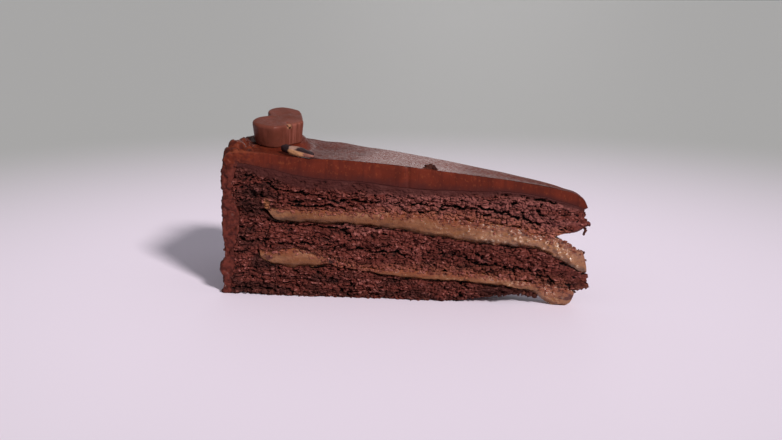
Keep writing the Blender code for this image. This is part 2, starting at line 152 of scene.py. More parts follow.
def height_along(points, where):
    """Cubic line through the points, with the mean slope of the stretches beside it at each point."""
    at, value = np.array(points, dtype=float).T
    slope = np.gradient(value, at)
    left = np.clip(np.searchsorted(at, where) - 1, 0, len(at) - 2)
    width = at[left + 1] - at[left]
    part = np.clip((where - at[left]) / width, 0.0, 1.0)
    risen = 3 * part**2 - 2 * part**3
    lead = (part**3 - 2 * part**2 + part) * width * slope[left]
    trail = (part**3 - part**2) * width * slope[left + 1]
    return value[left] * (1 - risen) + value[left + 1] * risen + lead + trail


def ease(value):
    """0 below 0, 1 above 1, and a smooth step between."""
    value = np.clip(value, 0.0, 1.0)
    return value * value * (3 - 2 * value)


def rise(value, start, length):
    """0 up to the start, 1 one length past it, a smooth step between. A length below 0 turns it round."""
    return ease((value - start) / length)


def stepped(kind, value):
    """A rise of an amount, given as the amount, the start and the length."""
    amount, start, length = kind
    return amount * rise(value, start, length)


def hump(value, middle, width):
    """1 at the middle and soft towards both sides: the bell curve of the distance in widths."""
    return np.exp(-((value - middle) / width)**2)


def part_way(first, last, share):
    """The first where the share is 0, the last where it is 1."""
    return first + (last - first) * share


def random_corner(column, row, seed):
    """A fixed random number from -1 to 1 for each whole-number pair: the numbers are mixed, and the last bits
    of the mixture are kept."""
    mixed = column * MIX_COLUMN + row * MIX_ROW + seed * MIX_SEED
    mixed = (mixed ^ (mixed >> 13)) * MIX_AGAIN
    mixed = (mixed ^ (mixed >> 16)) & KEPT_BITS
    return mixed / (KEPT_BITS // 2) - 1.0


def ripple(along, up, seed):
    """Smooth noise: random numbers at whole-number corners, eased between each square's four corners."""
    column = np.floor(along).astype(np.int64)
    row = np.floor(up).astype(np.int64)
    side = ease(along - column)
    over = ease(up - row)
    corners = [[random_corner(column + right, row + above, seed) for right in (0, 1)] for above in (0, 1)]
    low, high = [left * (1 - side) + right * side for left, right in corners]
    return low * (1 - over) + high * over


def ripples(kinds, along, up, seed, start=0.0):
    """Ripples of several sizes added to a start, each given as its depth, its length and its height."""
    for number, (depth, length, height) in enumerate(kinds):
        start = start + depth * ripple(along / length, up / height, seed + number)
    return start


def roughness(kind, along, up, seed):
    """Two ripples, the second half as large and half as deep, for a depth and size in millimetres."""
    depth, length, height = kind
    coarse = ripple(along / length, up / height, seed)
    fine = ripple(2 * along / length, 2 * up / height, seed + 1)
    return depth * (coarse + FINE_SHARE * fine) / (1 + FINE_SHARE)


def ragged(kind, radius, across, seed):
    """A small up-and-down of the line where two layers meet, the same for both of them: a ripple, and another
    2.3 times as short and half as deep."""
    depth, length, width = kind
    coarse = ripple(radius / length, across * width, seed)
    fine = ripple(RAGGED_FINER * radius / length, across * width, seed + 1)
    return depth * (coarse + FINE_SHARE * fine)


def clumps(along, up, seed):
    """Cells round scattered middles, one in each whole-number square.

    Gives the distance to the nearest middle, how much farther the next one is, and the nearest cell's own
    number from -1 to 1."""
    column = np.floor(along).astype(np.int64)
    row = np.floor(up).astype(np.int64)
    nearest = np.full(np.shape(along), FAR)
    second = nearest.copy()
    own = np.zeros(np.shape(along))
    for right in (-1, 0, 1):
        for above in (-1, 0, 1):
            cell = (column + right, row + above)
            middle_along = cell[0] + 0.5 + 0.5 * random_corner(*cell, seed)
            middle_up = cell[1] + 0.5 + 0.5 * random_corner(*cell, seed + 1)
            away = np.hypot(along - middle_along, up - middle_up)
            closer = away < nearest
            second = np.where(closer, nearest, np.minimum(second, away))
            own = np.where(closer, random_corner(*cell, seed + 2), own)
            nearest = np.minimum(nearest, away)
    return nearest, second - nearest, own


def crags(kind, along, up, seed, uneven=1.0):
    """Cells of a depth, a length and a height: each stands out by its own amount and most in its middle."""
    depth, length, height = kind
    middle, _, own = clumps(along / length, up / height, seed)
    return depth * (uneven * own + 0.5 - middle)


def scuffed(kinds, turn, level, seed):
    """1 with ripples added, each given as its depth and how often it changes round and up the piece."""
    share = 1.0
    for number, (depth, around, up) in enumerate(kinds):
        share = share + depth * ripple(turn * around, level * up, seed + number)
    return share


def away_from(line, first, second):
    """Distance of each place to a line of straight stretches."""
    least = np.full(np.shape(first), FAR)
    for (x, y), (end_x, end_y) in zip(line[:-1], line[1:]):
        along, up = end_x - x, end_y - y
        share = np.clip(((first - x) * along + (second - y) * up) / (along**2 + up**2), 0.0, 1.0)
        least = np.minimum(least, np.hypot(first - x - share * along, second - y - share * up))
    return least


def settle(radius, across, height):
    """How far a point sinks: not at all at the front cut, and most at the back cut's rim."""
    lean = BACK_SINKS * (height / RIM_HEIGHT) * (radius / CAKE_RADIUS)
    inside = np.clip(np.sin(math.pi * np.clip(height / RIM_HEIGHT, 0.0, 1.0)), 0.0, 1.0)
    along = radius / WANDER_LENGTH + WANDER_START
    wander = LAYER_WANDER * inside * ripple(along, height / WANDER_DEPTH, WANDER_SEED)
    return (across + 1) / 2 * (lean + wander)


def place(radius, across, height):
    """Turns radius, place across and height into points; the first axis runs to the tip, the last one up."""
    turn = across * HALF_ANGLE
    blunt = TIP_BLUNTNESS * np.exp(-(radius - TIP_REACH) / TIP_BLEND)
    sunk = height - settle(radius, across, height)
    sideways = radius * np.sin(turn) + across * blunt
    return np.stack([-radius * np.cos(turn), sideways, sunk], axis=-1) + CAKE_MIDDLE


def on_cut(across):
    return np.abs(across) > ON_CUT


def cut_seed(across, seed):
    return np.where(across < 0, seed, seed + BACK_CUT_SEED_STEP)


def outward(across):
    """Which way each point of a cut faces: towards -Y at the front cut and +Y at the back cut."""
    side = np.sign(across)
    along = np.full(np.shape(side), math.sin(HALF_ANGLE))
    return np.stack([along, side * math.cos(HALF_ANGLE), np.zeros(np.shape(side))], axis=-1)


def breadth(radius):
    """Share of its full depth that a relief has where the wedge is narrow."""
    return np.clip(radius * math.sin(HALF_ANGLE) / BROAD_CUT, LEAST_RELIEF, 1.0)


def stood_out(spots, radius, across, out):
    """Points moved out of the cuts by the relief, less where the wedge is narrow, none below ground."""
    spots = spots + outward(across) * (out * on_cut(across) * breadth(radius))[..., None]
    spots[..., 2] = np.maximum(spots[..., 2], 0.0)
    return spots


def block(along, across, through):
    """The outside of a box of cells, whose edges are at the given places along, across and through the box.

    Gives the three places of every point on the six sides, each point once, and the faces' corners."""
    counts = (len(along), len(across), len(through))
    outside = np.ones(counts, dtype=bool)
    outside[1:-1, 1:-1, 1:-1] = False
    number = np.full(counts, -1)
    number[outside] = np.arange(outside.sum())
    corner = np.argwhere(outside)
    sides = []
    for axis in range(3):
        for end in (0, -1):
            sheet = np.take(number, end, axis=axis)
            four = np.stack([sheet[:-1, :-1], sheet[1:, :-1], sheet[1:, 1:], sheet[:-1, 1:]], axis=-1)
            four = four.reshape(-1, 4)
            sides.append(four[:, ::-1] if (end == -1) != (axis == 1) else four)
    return along[corner[:, 0]], across[corner[:, 1]], through[corner[:, 2]], np.concatenate(sides)


def full_turn(sides):
    """Angles evenly round a circle."""
    return np.arange(sides) * 2 * math.pi / sides


def closed_turning(rings, sides):
    """Faces of a surface of closed rings, with one pole before the first ring and one after the last."""
    step = np.arange(sides)
    start = 1 + np.arange(rings)[:, None] * sides
    ring = start + step
    after = start + (step + 1) % sides
    four = np.stack([ring[:-1], after[:-1], after[1:], ring[1:]], axis=-1).reshape(-1, 4)
    first = np.stack([np.zeros(sides, dtype=int), after[0], ring[0]], axis=-1)
    last = np.stack([np.full(sides, 1 + rings * sides), ring[-1], after[-1]], axis=-1)
    return [*four.tolist(), *first.tolist(), *last.tolist()]


def with_poles(values, last=0.0):
    """The value of each point of a closed turning, where its first pole has 0."""
    return np.concatenate([[0.0], np.ravel(values), [last]])


def even_steps(profile, scale, rings):
    """The two columns of a profile at even steps of its length, its ends and that many rings between them."""
    first, second = np.array(profile).T
    run = np.concatenate([[0.0], np.cumsum(np.hypot(np.diff(first) * scale[0], np.diff(second) * scale[1]))])
    stops = np.linspace(0.0, run[-1], rings + 2)
    return np.interp(stops, run, first)[:, None], np.interp(stops, run, second)[:, None]


def add_piece(name, points, faces, finish, values, smooth=True):
    """Makes a piece from its points in millimetres, its faces and the values that its finish reads."""
    mesh = bpy.data.meshes.new(name)
    mesh.from_pydata((points * MM).tolist(), [], [list(face) for face in faces])
    for label, value in values.items():
        stored = mesh.attributes.new(label, "FLOAT", "POINT")
        stored.data.foreach_set("value", np.ascontiguousarray(value, dtype=np.float32))
    mesh.materials.append(finish)
    if smooth:
        mesh.shade_smooth()
    piece = bpy.data.objects.new(name, mesh)
    bpy.context.scene.collection.objects.link(piece)
    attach(piece, "root")
    return piece


def build_layers(layers, layer_points, counts, ending, finish):
    """Every layer starts as a box of cells and is bent into place. The counts are those of the cells along,
    across and through it."""
    along, across, through = counts
    edges = (np.linspace(0.0, 1.0, along + 1)**TIP_CROWDING, np.linspace(-1.0, 1.0, across + 1),
             np.linspace(0.0, 1.0, through + 1))
    *places, faces = block(*edges)
    for node, layer in layers.items():
        points, values = layer_points(layer, *places)
        piece = add_piece(node + ending, points, faces, finish, values)
        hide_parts(node)


# Finishes

class Finish:
    """A material in the making: each call adds a node and returns the output that later calls read."""

    def __init__(self, name, rough, specular):
        self.material = bpy.data.materials.new(name)
        self.material.use_nodes = True
        self.tree = self.material.node_tree
        self.shader = self.tree.nodes["Principled BSDF"]
        self.spot = self.tree.nodes.new("ShaderNodeTexCoord").outputs["Object"]
        self.set("Roughness", rough)
        self.set("Specular IOR Level", specular)

    def set(self, label, value):
        """Gives one of the shader's sockets a constant or a node's output."""
        self.join(value, self.shader.inputs[label])

    def join(self, value, socket):
        if isinstance(value, bpy.types.NodeSocket):
            self.tree.links.new(value, socket)
        elif isinstance(value, tuple) and len(value) == 3 and socket.type == "RGBA":
            socket.default_value = (*value, 1.0)
        else:
            socket.default_value = value

    def node(self, kind, joined, result, **settings):
        made = self.tree.nodes.new(kind)
        for label, value in settings.items():
            setattr(made, label, value)
        for label, value in joined.items():
            self.join(value, made.inputs[label])
        return made.outputs[result]

    def noise(self, size, stretch=(1.0, 1.0), detail=2.0, shift=0.0):
        """Smooth noise from 0 to 1 with features about this many millimetres wide. The stretch squeezes the
        place on the piece sideways and upwards."""
        joined = {"Vector": self.spot, "Location": (shift, shift, shift), "Scale": (stretch[0], *stretch)}
        where = self.node("ShaderNodeMapping", joined, "Vector")
        joined = {"Vector": where, "Scale": 1 / (size * MM), "Detail": detail}
        return self.node("ShaderNodeTexNoise", joined, "Fac")

    def stored(self, label):
        """A value that the piece keeps at its points."""
        return self.node("ShaderNodeAttribute", {}, "Fac", attribute_name=label)

    def between(self, value, low, high, least=0.0, most=1.0):
        """Takes low to least and high to most, with a smooth step between them."""
        joined = {"Value": value, "From Min": low, "From Max": high, "To Min": least, "To Max": most}
        return self.node("ShaderNodeMapRange", joined, "Result", interpolation_type="SMOOTHSTEP")

    def patches(self, size, low, high, most=1.0, **noise):
        """Noise that is 0 where it is low and most where it is high."""
        return self.between(self.noise(size, **noise), low, high, 0.0, most)

    def math(self, operation, first, second):
        return self.node("ShaderNodeMath", {0: first, 1: second}, "Value", operation=operation)

    def plus(self, first, second):
        return self.math("ADD", first, second)

    def times(self, first, second):
        return self.math("MULTIPLY", first, second)

    def blend(self, share, first, second):
        """The first colour where the share is 0 and the second where it is 1."""
        return self.node("ShaderNodeMix", {0: share, 6: first, 7: second}, 2, data_type="RGBA")

    def ground(self, share, first, second):
        """The colour that the coats go over: a blend of two."""
        self.colour = self.blend(share, first, second)

    def coat(self, share, colour, strength=None):
        """A colour over the ones so far, by its share times its strength."""
        share = share if strength is None else self.times(share, strength)
        self.colour = self.blend(share, self.colour, colour)

    def bump(self, height, depth):
        """Fine relief: the height from 0 to 1 stands for this many millimetres."""
        joined = {"Height": height, "Distance": depth * MM, "Strength": 1.0}
        self.set("Normal", self.node("ShaderNodeBump", joined, "Normal"))

    def painted(self):
        """The finished material, with its coats on."""
        self.set("Base Color", self.colour)
        return self.material


def sponge_finish():
    """Dark chocolate crumb: painted highlights where it stands out, painted shade that is near-black in the
    pits, darker patches, some of them painted shadow, tan-red where caramel has soaked in, and smooth and
    purple-brown where frosting has."""
    finish = Finish("chocolate_sponge", 0.75, specular=0.15)
    finish.ground(finish.patches(11.0, 0.35, 0.65, stretch=(1.0, 2.0)),
                  (0.092, 0.0175, 0.0125), (0.125, 0.026, 0.019))
    uneven = finish.between(finish.noise(3.4, (0.5, 1.4), shift=0.4), 0.3, 0.7, -0.25, 0.45)
    shade = finish.plus(finish.stored("shade"), uneven)
    lift = finish.stored("lift")
    pale_crumb = finish.between(shade, -0.5, 0.0, 1.0, 0.0)
    finish.coat(pale_crumb, (0.19, 0.058, 0.050))
    # Darker crumb where the shade value is high: the crumb's own darker parts, and painted shadow low down
    # under the caramel's arch near the tip.
    darker_crumb_and_shadow = finish.between(shade, 0.15, 1.0)
    finish.coat(darker_crumb_and_shadow, (0.040, 0.0085, 0.0065))
    caramel_stain = finish.times(finish.stored("stained"), finish.patches(1.8, 0.3, 0.6, detail=3.0))
    finish.coat(caramel_stain, (0.27, 0.085, 0.05))
    # Painted highlights: pale pink specks where the crumb stands out, fewer where it is dark.
    painted_crumb_highlights = finish.patches(0.9, 0.46, 0.66, stretch=(0.6, 1.2), detail=4.0, shift=0.3)
    painted_crumb_highlights = finish.times(painted_crumb_highlights, finish.between(lift, 0.45, 0.9))
    painted_crumb_highlights = finish.times(painted_crumb_highlights, finish.between(shade, 0.0, 1.0, 1.0, 0.3))
    finish.coat(painted_crumb_highlights, (0.39, 0.138, 0.12))
    caramel_smear = finish.between(finish.stored("smear"), 0.3, 0.7)
    finish.coat(caramel_smear, (0.235, 0.086, 0.040))
    finish.coat(finish.stored("soaked"), (0.046, 0.0095, 0.0082), strength=0.85)
    # Painted shade: the crumb is coloured near-black where its relief is low, in pits and in the groove under
    # the caramel.
    painted_pit_shade = finish.between(lift, 0.02, 0.42, 1.0, 0.0)
    finish.coat(painted_pit_shade, (0.008, 0.0025, 0.0025))
    grain = finish.plus(finish.noise(0.35, detail=3.0), finish.times(finish.noise(0.9), 0.6))
    finish.bump(grain, 0.16)
    return finish.painted()


def caramel_finish():
    """Thick cooked caramel: tan, darker low down, partly crumb and partly painted shade, redder and specked
    with crumbs along its upper edge, wet and paler near the tip, and dirty with sponge where the knife has
    dragged crumbs over it."""
    finish = Finish("caramel", 0.32, specular=0.4)
    uneven = finish.times(finish.noise(2.6, (0.45, 1.3), detail=3.0), 0.9)
    level = finish.plus(finish.stored("level"), uneven)
    wet = finish.stored("wet")
    tan = finish.blend(wet, (0.163, 0.0555, 0.0215), (0.27, 0.104, 0.040))
    # Darker low down in the layer: partly crumb, partly painted shade along its lower edge.
    finish.ground(finish.between(level, 0.35, 0.85), (0.070, 0.027, 0.014), tan)
    upper_edge = finish.between(level, 0.95, 1.35, 0.0, 0.85)
    finish.coat(upper_edge, (0.20, 0.05, 0.020))
    pale_streaks = finish.patches(4.2, 0.42, 0.68, stretch=(0.5, 1.1), detail=3.0, shift=0.1)
    finish.coat(pale_streaks, (0.30, 0.14, 0.075), strength=0.45)
    specks = finish.patches(0.8, 0.58, 0.64, stretch=(0.7, 1.0))
    specks = finish.times(specks, finish.between(level, 0.7, 1.4, 0.2, 1.0))
    finish.coat(specks, (0.12, 0.026, 0.013))
    dirt = finish.times(finish.noise(1.8, (0.5, 1.2), detail=3.0, shift=0.2), 1.6)
    dirt = finish.between(finish.plus(dirt, finish.stored("crumby")), 1.2, 1.4)
    finish.coat(dirt, (0.080, 0.020, 0.013))
    rough = finish.between(finish.noise(1.6, detail=3.0), 0.35, 0.65, 0.24, 0.5)
    finish.set("Roughness", finish.math("SUBTRACT", rough, finish.times(wet, 0.14)))
    finish.set("Specular IOR Level", finish.between(wet, 0.0, 1.0, 0.3, 0.8))
    lumps = finish.plus(finish.noise(1.3, (0.7, 1.2), detail=4.0), finish.times(finish.noise(0.35), 0.3))
    finish.bump(lumps, 0.45)
    return finish.painted()


def frosting_finish():
    """Set chocolate frosting: red-brown with upright knife streaks at the cut, darker where it meets the
    sponge, a painted highlight along the cut's top edge near the rim, a satin top with a fine mottle that is
    painted lighter where its sheen falls, a dark smear that is partly painted shadow, and rougher, redder
    crags along the rim."""
    finish = Finish("chocolate_frosting", 0.4, specular=0.12)
    finish.ground(finish.patches(12.0, 0.38, 0.62, stretch=(1.0, 1.5), detail=3.0),
                  (0.090, 0.0135, 0.0068), (0.122, 0.0185, 0.0088))
    streaks = finish.patches(1.3, 0.45, 0.65, stretch=(1.0, 0.1), detail=3.0)
    finish.coat(streaks, (0.060, 0.010, 0.0065), strength=0.45)
    flecks = finish.patches(0.9, 0.58, 0.70, stretch=(1.0, 0.8), shift=0.2)
    finish.coat(flecks, (0.20, 0.045, 0.018), strength=0.45)
    uneven = finish.times(finish.noise(2.4, (0.6, 1.0), detail=3.0), 0.55)
    depth = finish.plus(finish.stored("depth"), uneven)
    near_sponge = finish.between(depth, 0.22, 0.85, 0.85, 0.0)
    finish.coat(near_sponge, (0.050, 0.011, 0.0095))
    mottle = finish.patches(1.4, 0.35, 0.65, detail=3.0, shift=0.5)
    crag_colour = finish.blend(mottle, (0.045, 0.0085, 0.006), (0.135, 0.025, 0.011))
    finish.coat(finish.stored("crag"), crag_colour, strength=0.85)
    # Painted highlight: a lighter orange line along the cut's top edge near the rim.
    finish.coat(finish.stored("edge"), (0.21, 0.050, 0.024), strength=0.6)
    rim_colour = finish.blend(mottle, (0.044, 0.0085, 0.0065), (0.112, 0.0235, 0.017))
    finish.coat(finish.stored("rim"), rim_colour, strength=0.9)
    # Dark on the top: partly a real smear behind the nut, partly painted shadow beside the nut and the
    # heart's foot.
    smear = finish.stored("smear")
    finish.coat(smear, (0.014, 0.003, 0.0025), strength=0.9)
    grain = finish.stored("grain")
    # Painted sheen: the grainy part of the top is coloured lighter and redder where its sheen falls.
    finish.coat(grain, (0.165, 0.026, 0.012), strength=0.8)
    rough = finish.between(finish.noise(1.0, detail=3.0), 0.35, 0.7, 0.34, 0.52)
    finish.set("Roughness", finish.math("SUBTRACT", rough, finish.times(grain, 0.08)))
    shine = finish.between(grain, 0.0, 1.0, 0.10, 0.29)
    finish.set("Specular IOR Level", finish.times(shine, finish.between(smear, 0.0, 1.0, 1.0, 0.2)))
    pimples = finish.times(finish.noise(1.0, shift=0.6), finish.between(grain, 0.0, 1.0, 0.6, 3.0))
    finish.bump(finish.plus(pimples, finish.times(streaks, 0.4)), 0.10)
    return finish.painted()


def chocolate_finish():
    """Moulded chocolate: soft sheen, a faint bloom on top, upright scuffs down its side and a painted
    highlight over its ridged right part.
    """
    finish = Finish("moulded_chocolate", 0.38, specular=0.10)
    finish.ground(finish.patches(4.0, 0.35, 0.7, detail=3.0), (0.122, 0.032, 0.021), (0.150, 0.040, 0.028))
    # Painted highlight: lighter colour over the ridged right part and flank.
    finish.coat(finish.stored("painted_flank_highlight"), (0.235, 0.072, 0.053))
    crushed = finish.blend(finish.patches(0.7, 0.4, 0.6), (0.03, 0.008, 0.005), (0.30, 0.13, 0.075))
    finish.coat(finish.between(finish.stored("chipped"), 0.25, 0.6), crushed)
    scuffs = finish.patches(0.9, 0.5, 0.7, stretch=(1.0, 0.12), detail=3.0)
    finish.coat(scuffs, (0.09, 0.028, 0.02), strength=0.3)
    finish.set("Roughness", finish.between(finish.noise(1.4, detail=3.0), 0.3, 0.7, 0.3, 0.46))
    finish.bump(finish.plus(finish.times(scuffs, 0.5), finish.noise(0.8, detail=3.0)), 0.05)
    return finish.painted()


def nut_finish():
    """Roasted nut: dark round one end and along its back, partly its skin and partly painted shadow, a tan
    split face and a pinkish far end.
    """
    finish = Finish("roasted_nut", 0.55, specular=0.3)
    along = finish.plus(finish.stored("length"), finish.times(finish.noise(1.2), 0.12))
    upper = finish.stored("upper")
    finish.ground(finish.between(upper, 0.1, 0.5), (0.56, 0.27, 0.13), (0.34, 0.19, 0.15))
    far_end = finish.between(along, 0.78, 0.84)
    finish.coat(far_end, (0.30, 0.115, 0.085))
    finish.coat(finish.patches(0.6, 0.35, 0.7, detail=3.0), (0.18, 0.08, 0.04), strength=0.35)
    # Dark round the left end and along the upper side of the far part: partly the nut's skin, partly painted
    # shadow.
    back = finish.times(finish.between(along, 0.50, 0.62), finish.between(upper, 0.2, 0.45))
    skin_and_shadow = finish.math("MAXIMUM", finish.between(along, 0.33, 0.40, 1.0, 0.0), back)
    finish.coat(skin_and_shadow, (0.018, 0.005, 0.007))
    finish.bump(finish.noise(0.5, detail=3.0), 0.10)
    return finish.painted()


SPONGE = sponge_finish()
CARAMEL = caramel_finish()
FROSTING = frosting_finish()
CHOCOLATE = chocolate_finish()
NUT = nut_finish()


# Lines where the layers meet

def meeting_line(points, kind, seed):
    """The line through the points, with the raggedness of the kind."""
    return lambda radius, across: height_along(points, radius) + ragged(kind, radius, across, seed)


upper_caramel_top = meeting_line(UPPER_CARAMEL_TOP, RAGGED_CARAMEL, seed=210)
upper_caramel_underside = meeting_line(UPPER_CARAMEL_UNDERSIDE, RAGGED_CARAMEL, seed=220)
lower_caramel_top = meeting_line(LOWER_CARAMEL_TOP, RAGGED_CARAMEL, seed=230)
frosting_underside = meeting_line(FROSTING_UNDERSIDE, RAGGED_FROSTING, seed=250)


def lower_caramel_underside(radius, across):
    """Ragged, except where the caramel lies on the ground."""
    line = height_along(LOWER_CARAMEL_UNDERSIDE, radius)
    return np.where(line > 0.5, line + ragged(RAGGED_CARAMEL, radius, across, seed=240), line)


def top_sponge_top(radius, across):
    return frosting_underside(radius, across) - SEAM


def top_sponge_underside(radius, across):
    """The caramel's top, except at the tip, where the sponge has lifted off it."""
    return np.maximum(upper_caramel_top(radius, across), height_along(TOP_SPONGE_NOSE, radius)) + SEAM


def middle_sponge_top(radius, across):
    """The caramel's underside, and past the caramel's end the top sponge's underside."""
    return np.minimum(upper_caramel_underside(radius, across), top_sponge_underside(radius, across)) - SEAM


def middle_sponge_underside(radius, across):
    return lower_caramel_top(radius, across) + SEAM


def bottom_sponge_top(radius, across):
    """The lower caramel's underside, and past the caramel's end the middle sponge's underside."""
    return np.minimum(lower_caramel_underside(radius, across), middle_sponge_underside(radius, across)) - SEAM


def bottom_sponge_underside(radius, across):
    """Flat on the ground, and lifted off it towards the tip."""
    return np.maximum(height_along(BOTTOM_SPONGE_UNDERSIDE, radius), 0.0)


def rim_inner(height):
    return ripples(RIM_INNER_WOBBLE, height, 0.0, 260, height_along(RIM_INNER, height))


# Sponge layers

SPONGE_CELLS = (580, 6, 62)

# Jags at the tip, as (depth, size), and the length over which they fade
TIP_JAGS = ((0.9, 1.3), (0.55, 0.6))
TIP_JAG_FADE = 2.5

# Torn crumb: clumps of three sizes, each with its length, its height, how unevenly its cells stand out, the
# rise of their middles and the depth of the creases between them. Their rows sway and bend.
CLUMPS = (
    (4.6, 2.2, 0.38, 0.25, 0.15),
    (1.6, 0.85, 0.40, 0.5, 0.4),
    (0.75, 0.45, 0.24, 0.3, 0.2),
)
CELL_MIDDLE = 0.45
CREASE_WIDTH = 0.3
CRUMB_SWAY = (0.9, 9.0, 4.0)
CRUMB_BEND = ((0.9, 2.6, 1.7), (0.35, 1.0, 0.8))
ROW_BEND = ((0.45, 2.6, 1.7), (0.175, 1.0, 0.8))

# Pits where crumbs have torn out, and how strongly they gather along a tear
PIT_SIZE = (1.5, 0.75)
PIT_DEPTH = 1.3
PIT_UNEVEN = 0.35
PIT_RARITY = 0.74
PIT_BORDER = 0.3
TEAR_PULL = 1.7
TEAR_SPACING = (9.0, 2.1)
TEAR_WIDTH = 0.2
TEAR_PATCH = (12.0, 3.6)
TEAR_PATCH_SLOPE = 2.5
TEAR_PATCH_SHARE = 0.4
OTHER_FRONT_TEARS = 0.6

# Tears that show at the front cut, each as its strength, its half width and a line of (radius, height) pairs,
# and how the lines wobble
FRONT_TEARS = (
    (1.3, 0.8, ((6.4, 34.3), (12.6, 34.9), (19.3, 35.9), (24.8, 36.3), (27.8, 36.6))),
    (1.2, 0.7, ((14.6, 26.8), (18.9, 28.4), (24.4, 29.9), (30.2, 31.4), (33.8, 32.1), (38.6, 31.9),
                (45.5, 32.2))),
    (1.0, 0.6, ((51.0, 32.7), (53.3, 32.8), (57.5, 32.7), (59.0, 32.7))),
    (1.1, 0.7, ((69.5, 32.8), (75.4, 33.3), (81.9, 33.0), (90.1, 35.0), (100.7, 36.4), (105.9, 39.3))),
    (1.0, 0.5, ((75.5, 30.3), (80.1, 31.1), (86.6, 31.4), (97.6, 31.1))),
    (0.9, 0.7, ((105.7, 34.2), (108.4, 34.9), (111.8, 34.1))),
    (0.8, 0.6, ((74.9, 21.0), (80.2, 23.0), (87.7, 24.4), (93.7, 24.6), (103.9, 25.6))),
    (1.1, 0.6, ((58.8, 15.1), (61.5, 16.1), (68.4, 15.9), (72.9, 16.7), (76.9, 17.1))),
    (1.1, 0.6, ((9.4, 7.9), (15.8, 10.5), (21.3, 12.2), (27.8, 12.9), (34.2, 12.7), (39.3, 15.4),
                (46.9, 16.2))),
    (0.9, 0.6, ((78.6, 17.6), (87.7, 17.6), (93.8, 18.3), (100.7, 18.3), (106.8, 19.1))),
    (0.8, 0.6, ((97.6, 2.5), (104.6, 2.6), (111.5, 2.1), (117.0, 2.4))),
    (0.8, 0.6, ((74.3, 5.9), (78.7, 5.8), (83.8, 6.3), (88.9, 8.6))),
)
FRONT_TEAR_WOBBLE = ((0.45, 1.8, 5.0), (0.25, 0.8, 2.0))
TEAR_END = 2.0

# Dark patches of crumb, each as its radius, its height, half its length and half its height. The two low ones
# near the tip are painted shadow under the caramel's arch.
DARK_PATCHES = (
    (106.5, 29.0, 5.0, 2.5), (107.1, 11.5, 4.0, 2.5), (107.7, 36.2, 4.5, 2.0), (93.0, 41.0, 4.0, 1.5),
    (66.0, 20.0, 4.0, 2.0), (110.0, 31.5, 4.0, 1.6), (24.0, 4.2, 9.0, 1.6), (40.0, 12.0, 8.0, 1.2),
    (88.7, 7.0, 1.5, 2.4), (60.5, 22.9, 3.0, 1.0), (20.3, 9.9, 1.5, 0.9), (66.5, 12.8, 3.0, 1.2),
    (85.4, 17.0, 2.0, 1.2), (31.9, 19.2, 3.0, 0.8), (26.0, 4.6, 7.0, 1.6), (52.5, 13.0, 3.0, 1.0),
    (7.0, 31.0, 2.0, 1.5),
)
# Pale dry patches, likewise, where the crumb holds together
LIGHT_PATCHES = (
    (43.3, 13.2, 4.0, 1.1), (61.8, 16.9, 3.2, 1.2), (31.8, 13.6, 3.8, 1.0), (15.8, 12.1, 2.5, 1.1),
    (102.0, 5.2, 9.0, 1.3), (24.8, 9.8, 2.0, 0.8), (30.0, 32.4, 4.0, 0.9), (20.8, 30.4, 3.5, 1.0),
    (15.5, 28.7, 3.0, 1.0), (20.8, 26.2, 6.0, 1.1),
)
DARK_PATCH_SHADE = 0.5
LIGHT_PATCH_SHADE = 0.45

# How dark the crumb is everywhere, and how much more near the rim and at the foot. Its upper part is paler up
# to some way before the rim, and more so behind the tip. Each step is its amount, its start and its length.
PLAIN_SHADE = 0.05
RIM_SHADE = (0.3, 88.0, 22.0)
FOOT_SHADE = (0.36, 9.5, -3.0)
UPPER_BEFORE_RIM = (1.0, 94.0, -44.0)
UPPER_HEIGHT = (1.0, 21.0, 4.0)
UPPER_PALE = 0.2
PALER_BEHIND_TIP = (0.4, 1.0, 9.0)

# Lines down which the knife has dragged caramel over the crumb
CARAMEL_DRIPS = (((90.8, 11.8), (89.9, 10.2)), ((105.0, 32.6), (104.6, 29.6)))
DRIP_WIDTH = 1.6
DRIP_WOBBLE = ((0.35, 1.1, 1.3),)

# Depth of the groove just under a layer of caramel, and how high the caramel stains the crumb above it near
# the tip and near the rim, with the two radii between which that changes
GROOVE_DEPTH = 1.2
GROOVE_HEIGHT = 0.9
STAIN_HEIGHTS = (4.6, 2.4)
STAIN_SPAN = (45.0, 70.0)
GROOVE_WOBBLE = 0.25

# Where the stain in the top sponge begins, where it fades and where it ends, each a step as above
STAIN_BEGINS = (1.0, 3.0, 6.0)
STAIN_FADES = (0.75, 55.0, 30.0)
STAIN_ENDS = (1.0, 98.0, 6.0)

# The lift of the crumb's middling relief, from 0 in a pit to 1 on a peak, and how fast it grows with relief.
# From it the sponge's finish paints shade into pits and highlights onto peaks.
LIFT_LEVEL = 0.55
LIFT_GROWS = 0.42

# The top of the top sponge has soaked up frosting and is dense and smooth: (radius, depth of that band)
SOAKED_BAND = (
    (0.0, 0.6), (30.0, 0.9), (50.0, 1.3), (62.0, 2.4), (85.0, 3.0), (98.0, 3.0), (106.0, 1.9), (118.0, 1.4),
)
SOAKED_BORDER = 1.2
SOAKED_WOBBLE = ((0.7, 2.2, 1 / 3),)
SOAKED_SMOOTHNESS = 0.72


def patches(listed, radius, height):
    """1 in the middle of each listed patch and soft towards its border."""
    return sum(np.exp(-((radius - where) / wide)**2 - ((height - at) / tall)**2)
               for where, at, wide, tall in listed)


def front_tears(radius, height):
    """1 on the lines of the front cut's own tears, and 0 away from them."""
    torn = np.zeros(np.shape(radius))
    wobble = ripples(FRONT_TEAR_WOBBLE, radius, height, 301)
    for strength, half_width, line in FRONT_TEARS:
        near = np.abs(height + wobble - height_along(line, radius)) / half_width
        ends = ease((radius - line[0][0] + 1.0) / TEAR_END) * ease((line[-1][0] + 1.0 - radius) / TEAR_END)
        torn = np.maximum(torn, strength * ends * (1 - ease(near - 0.2)))
    return torn


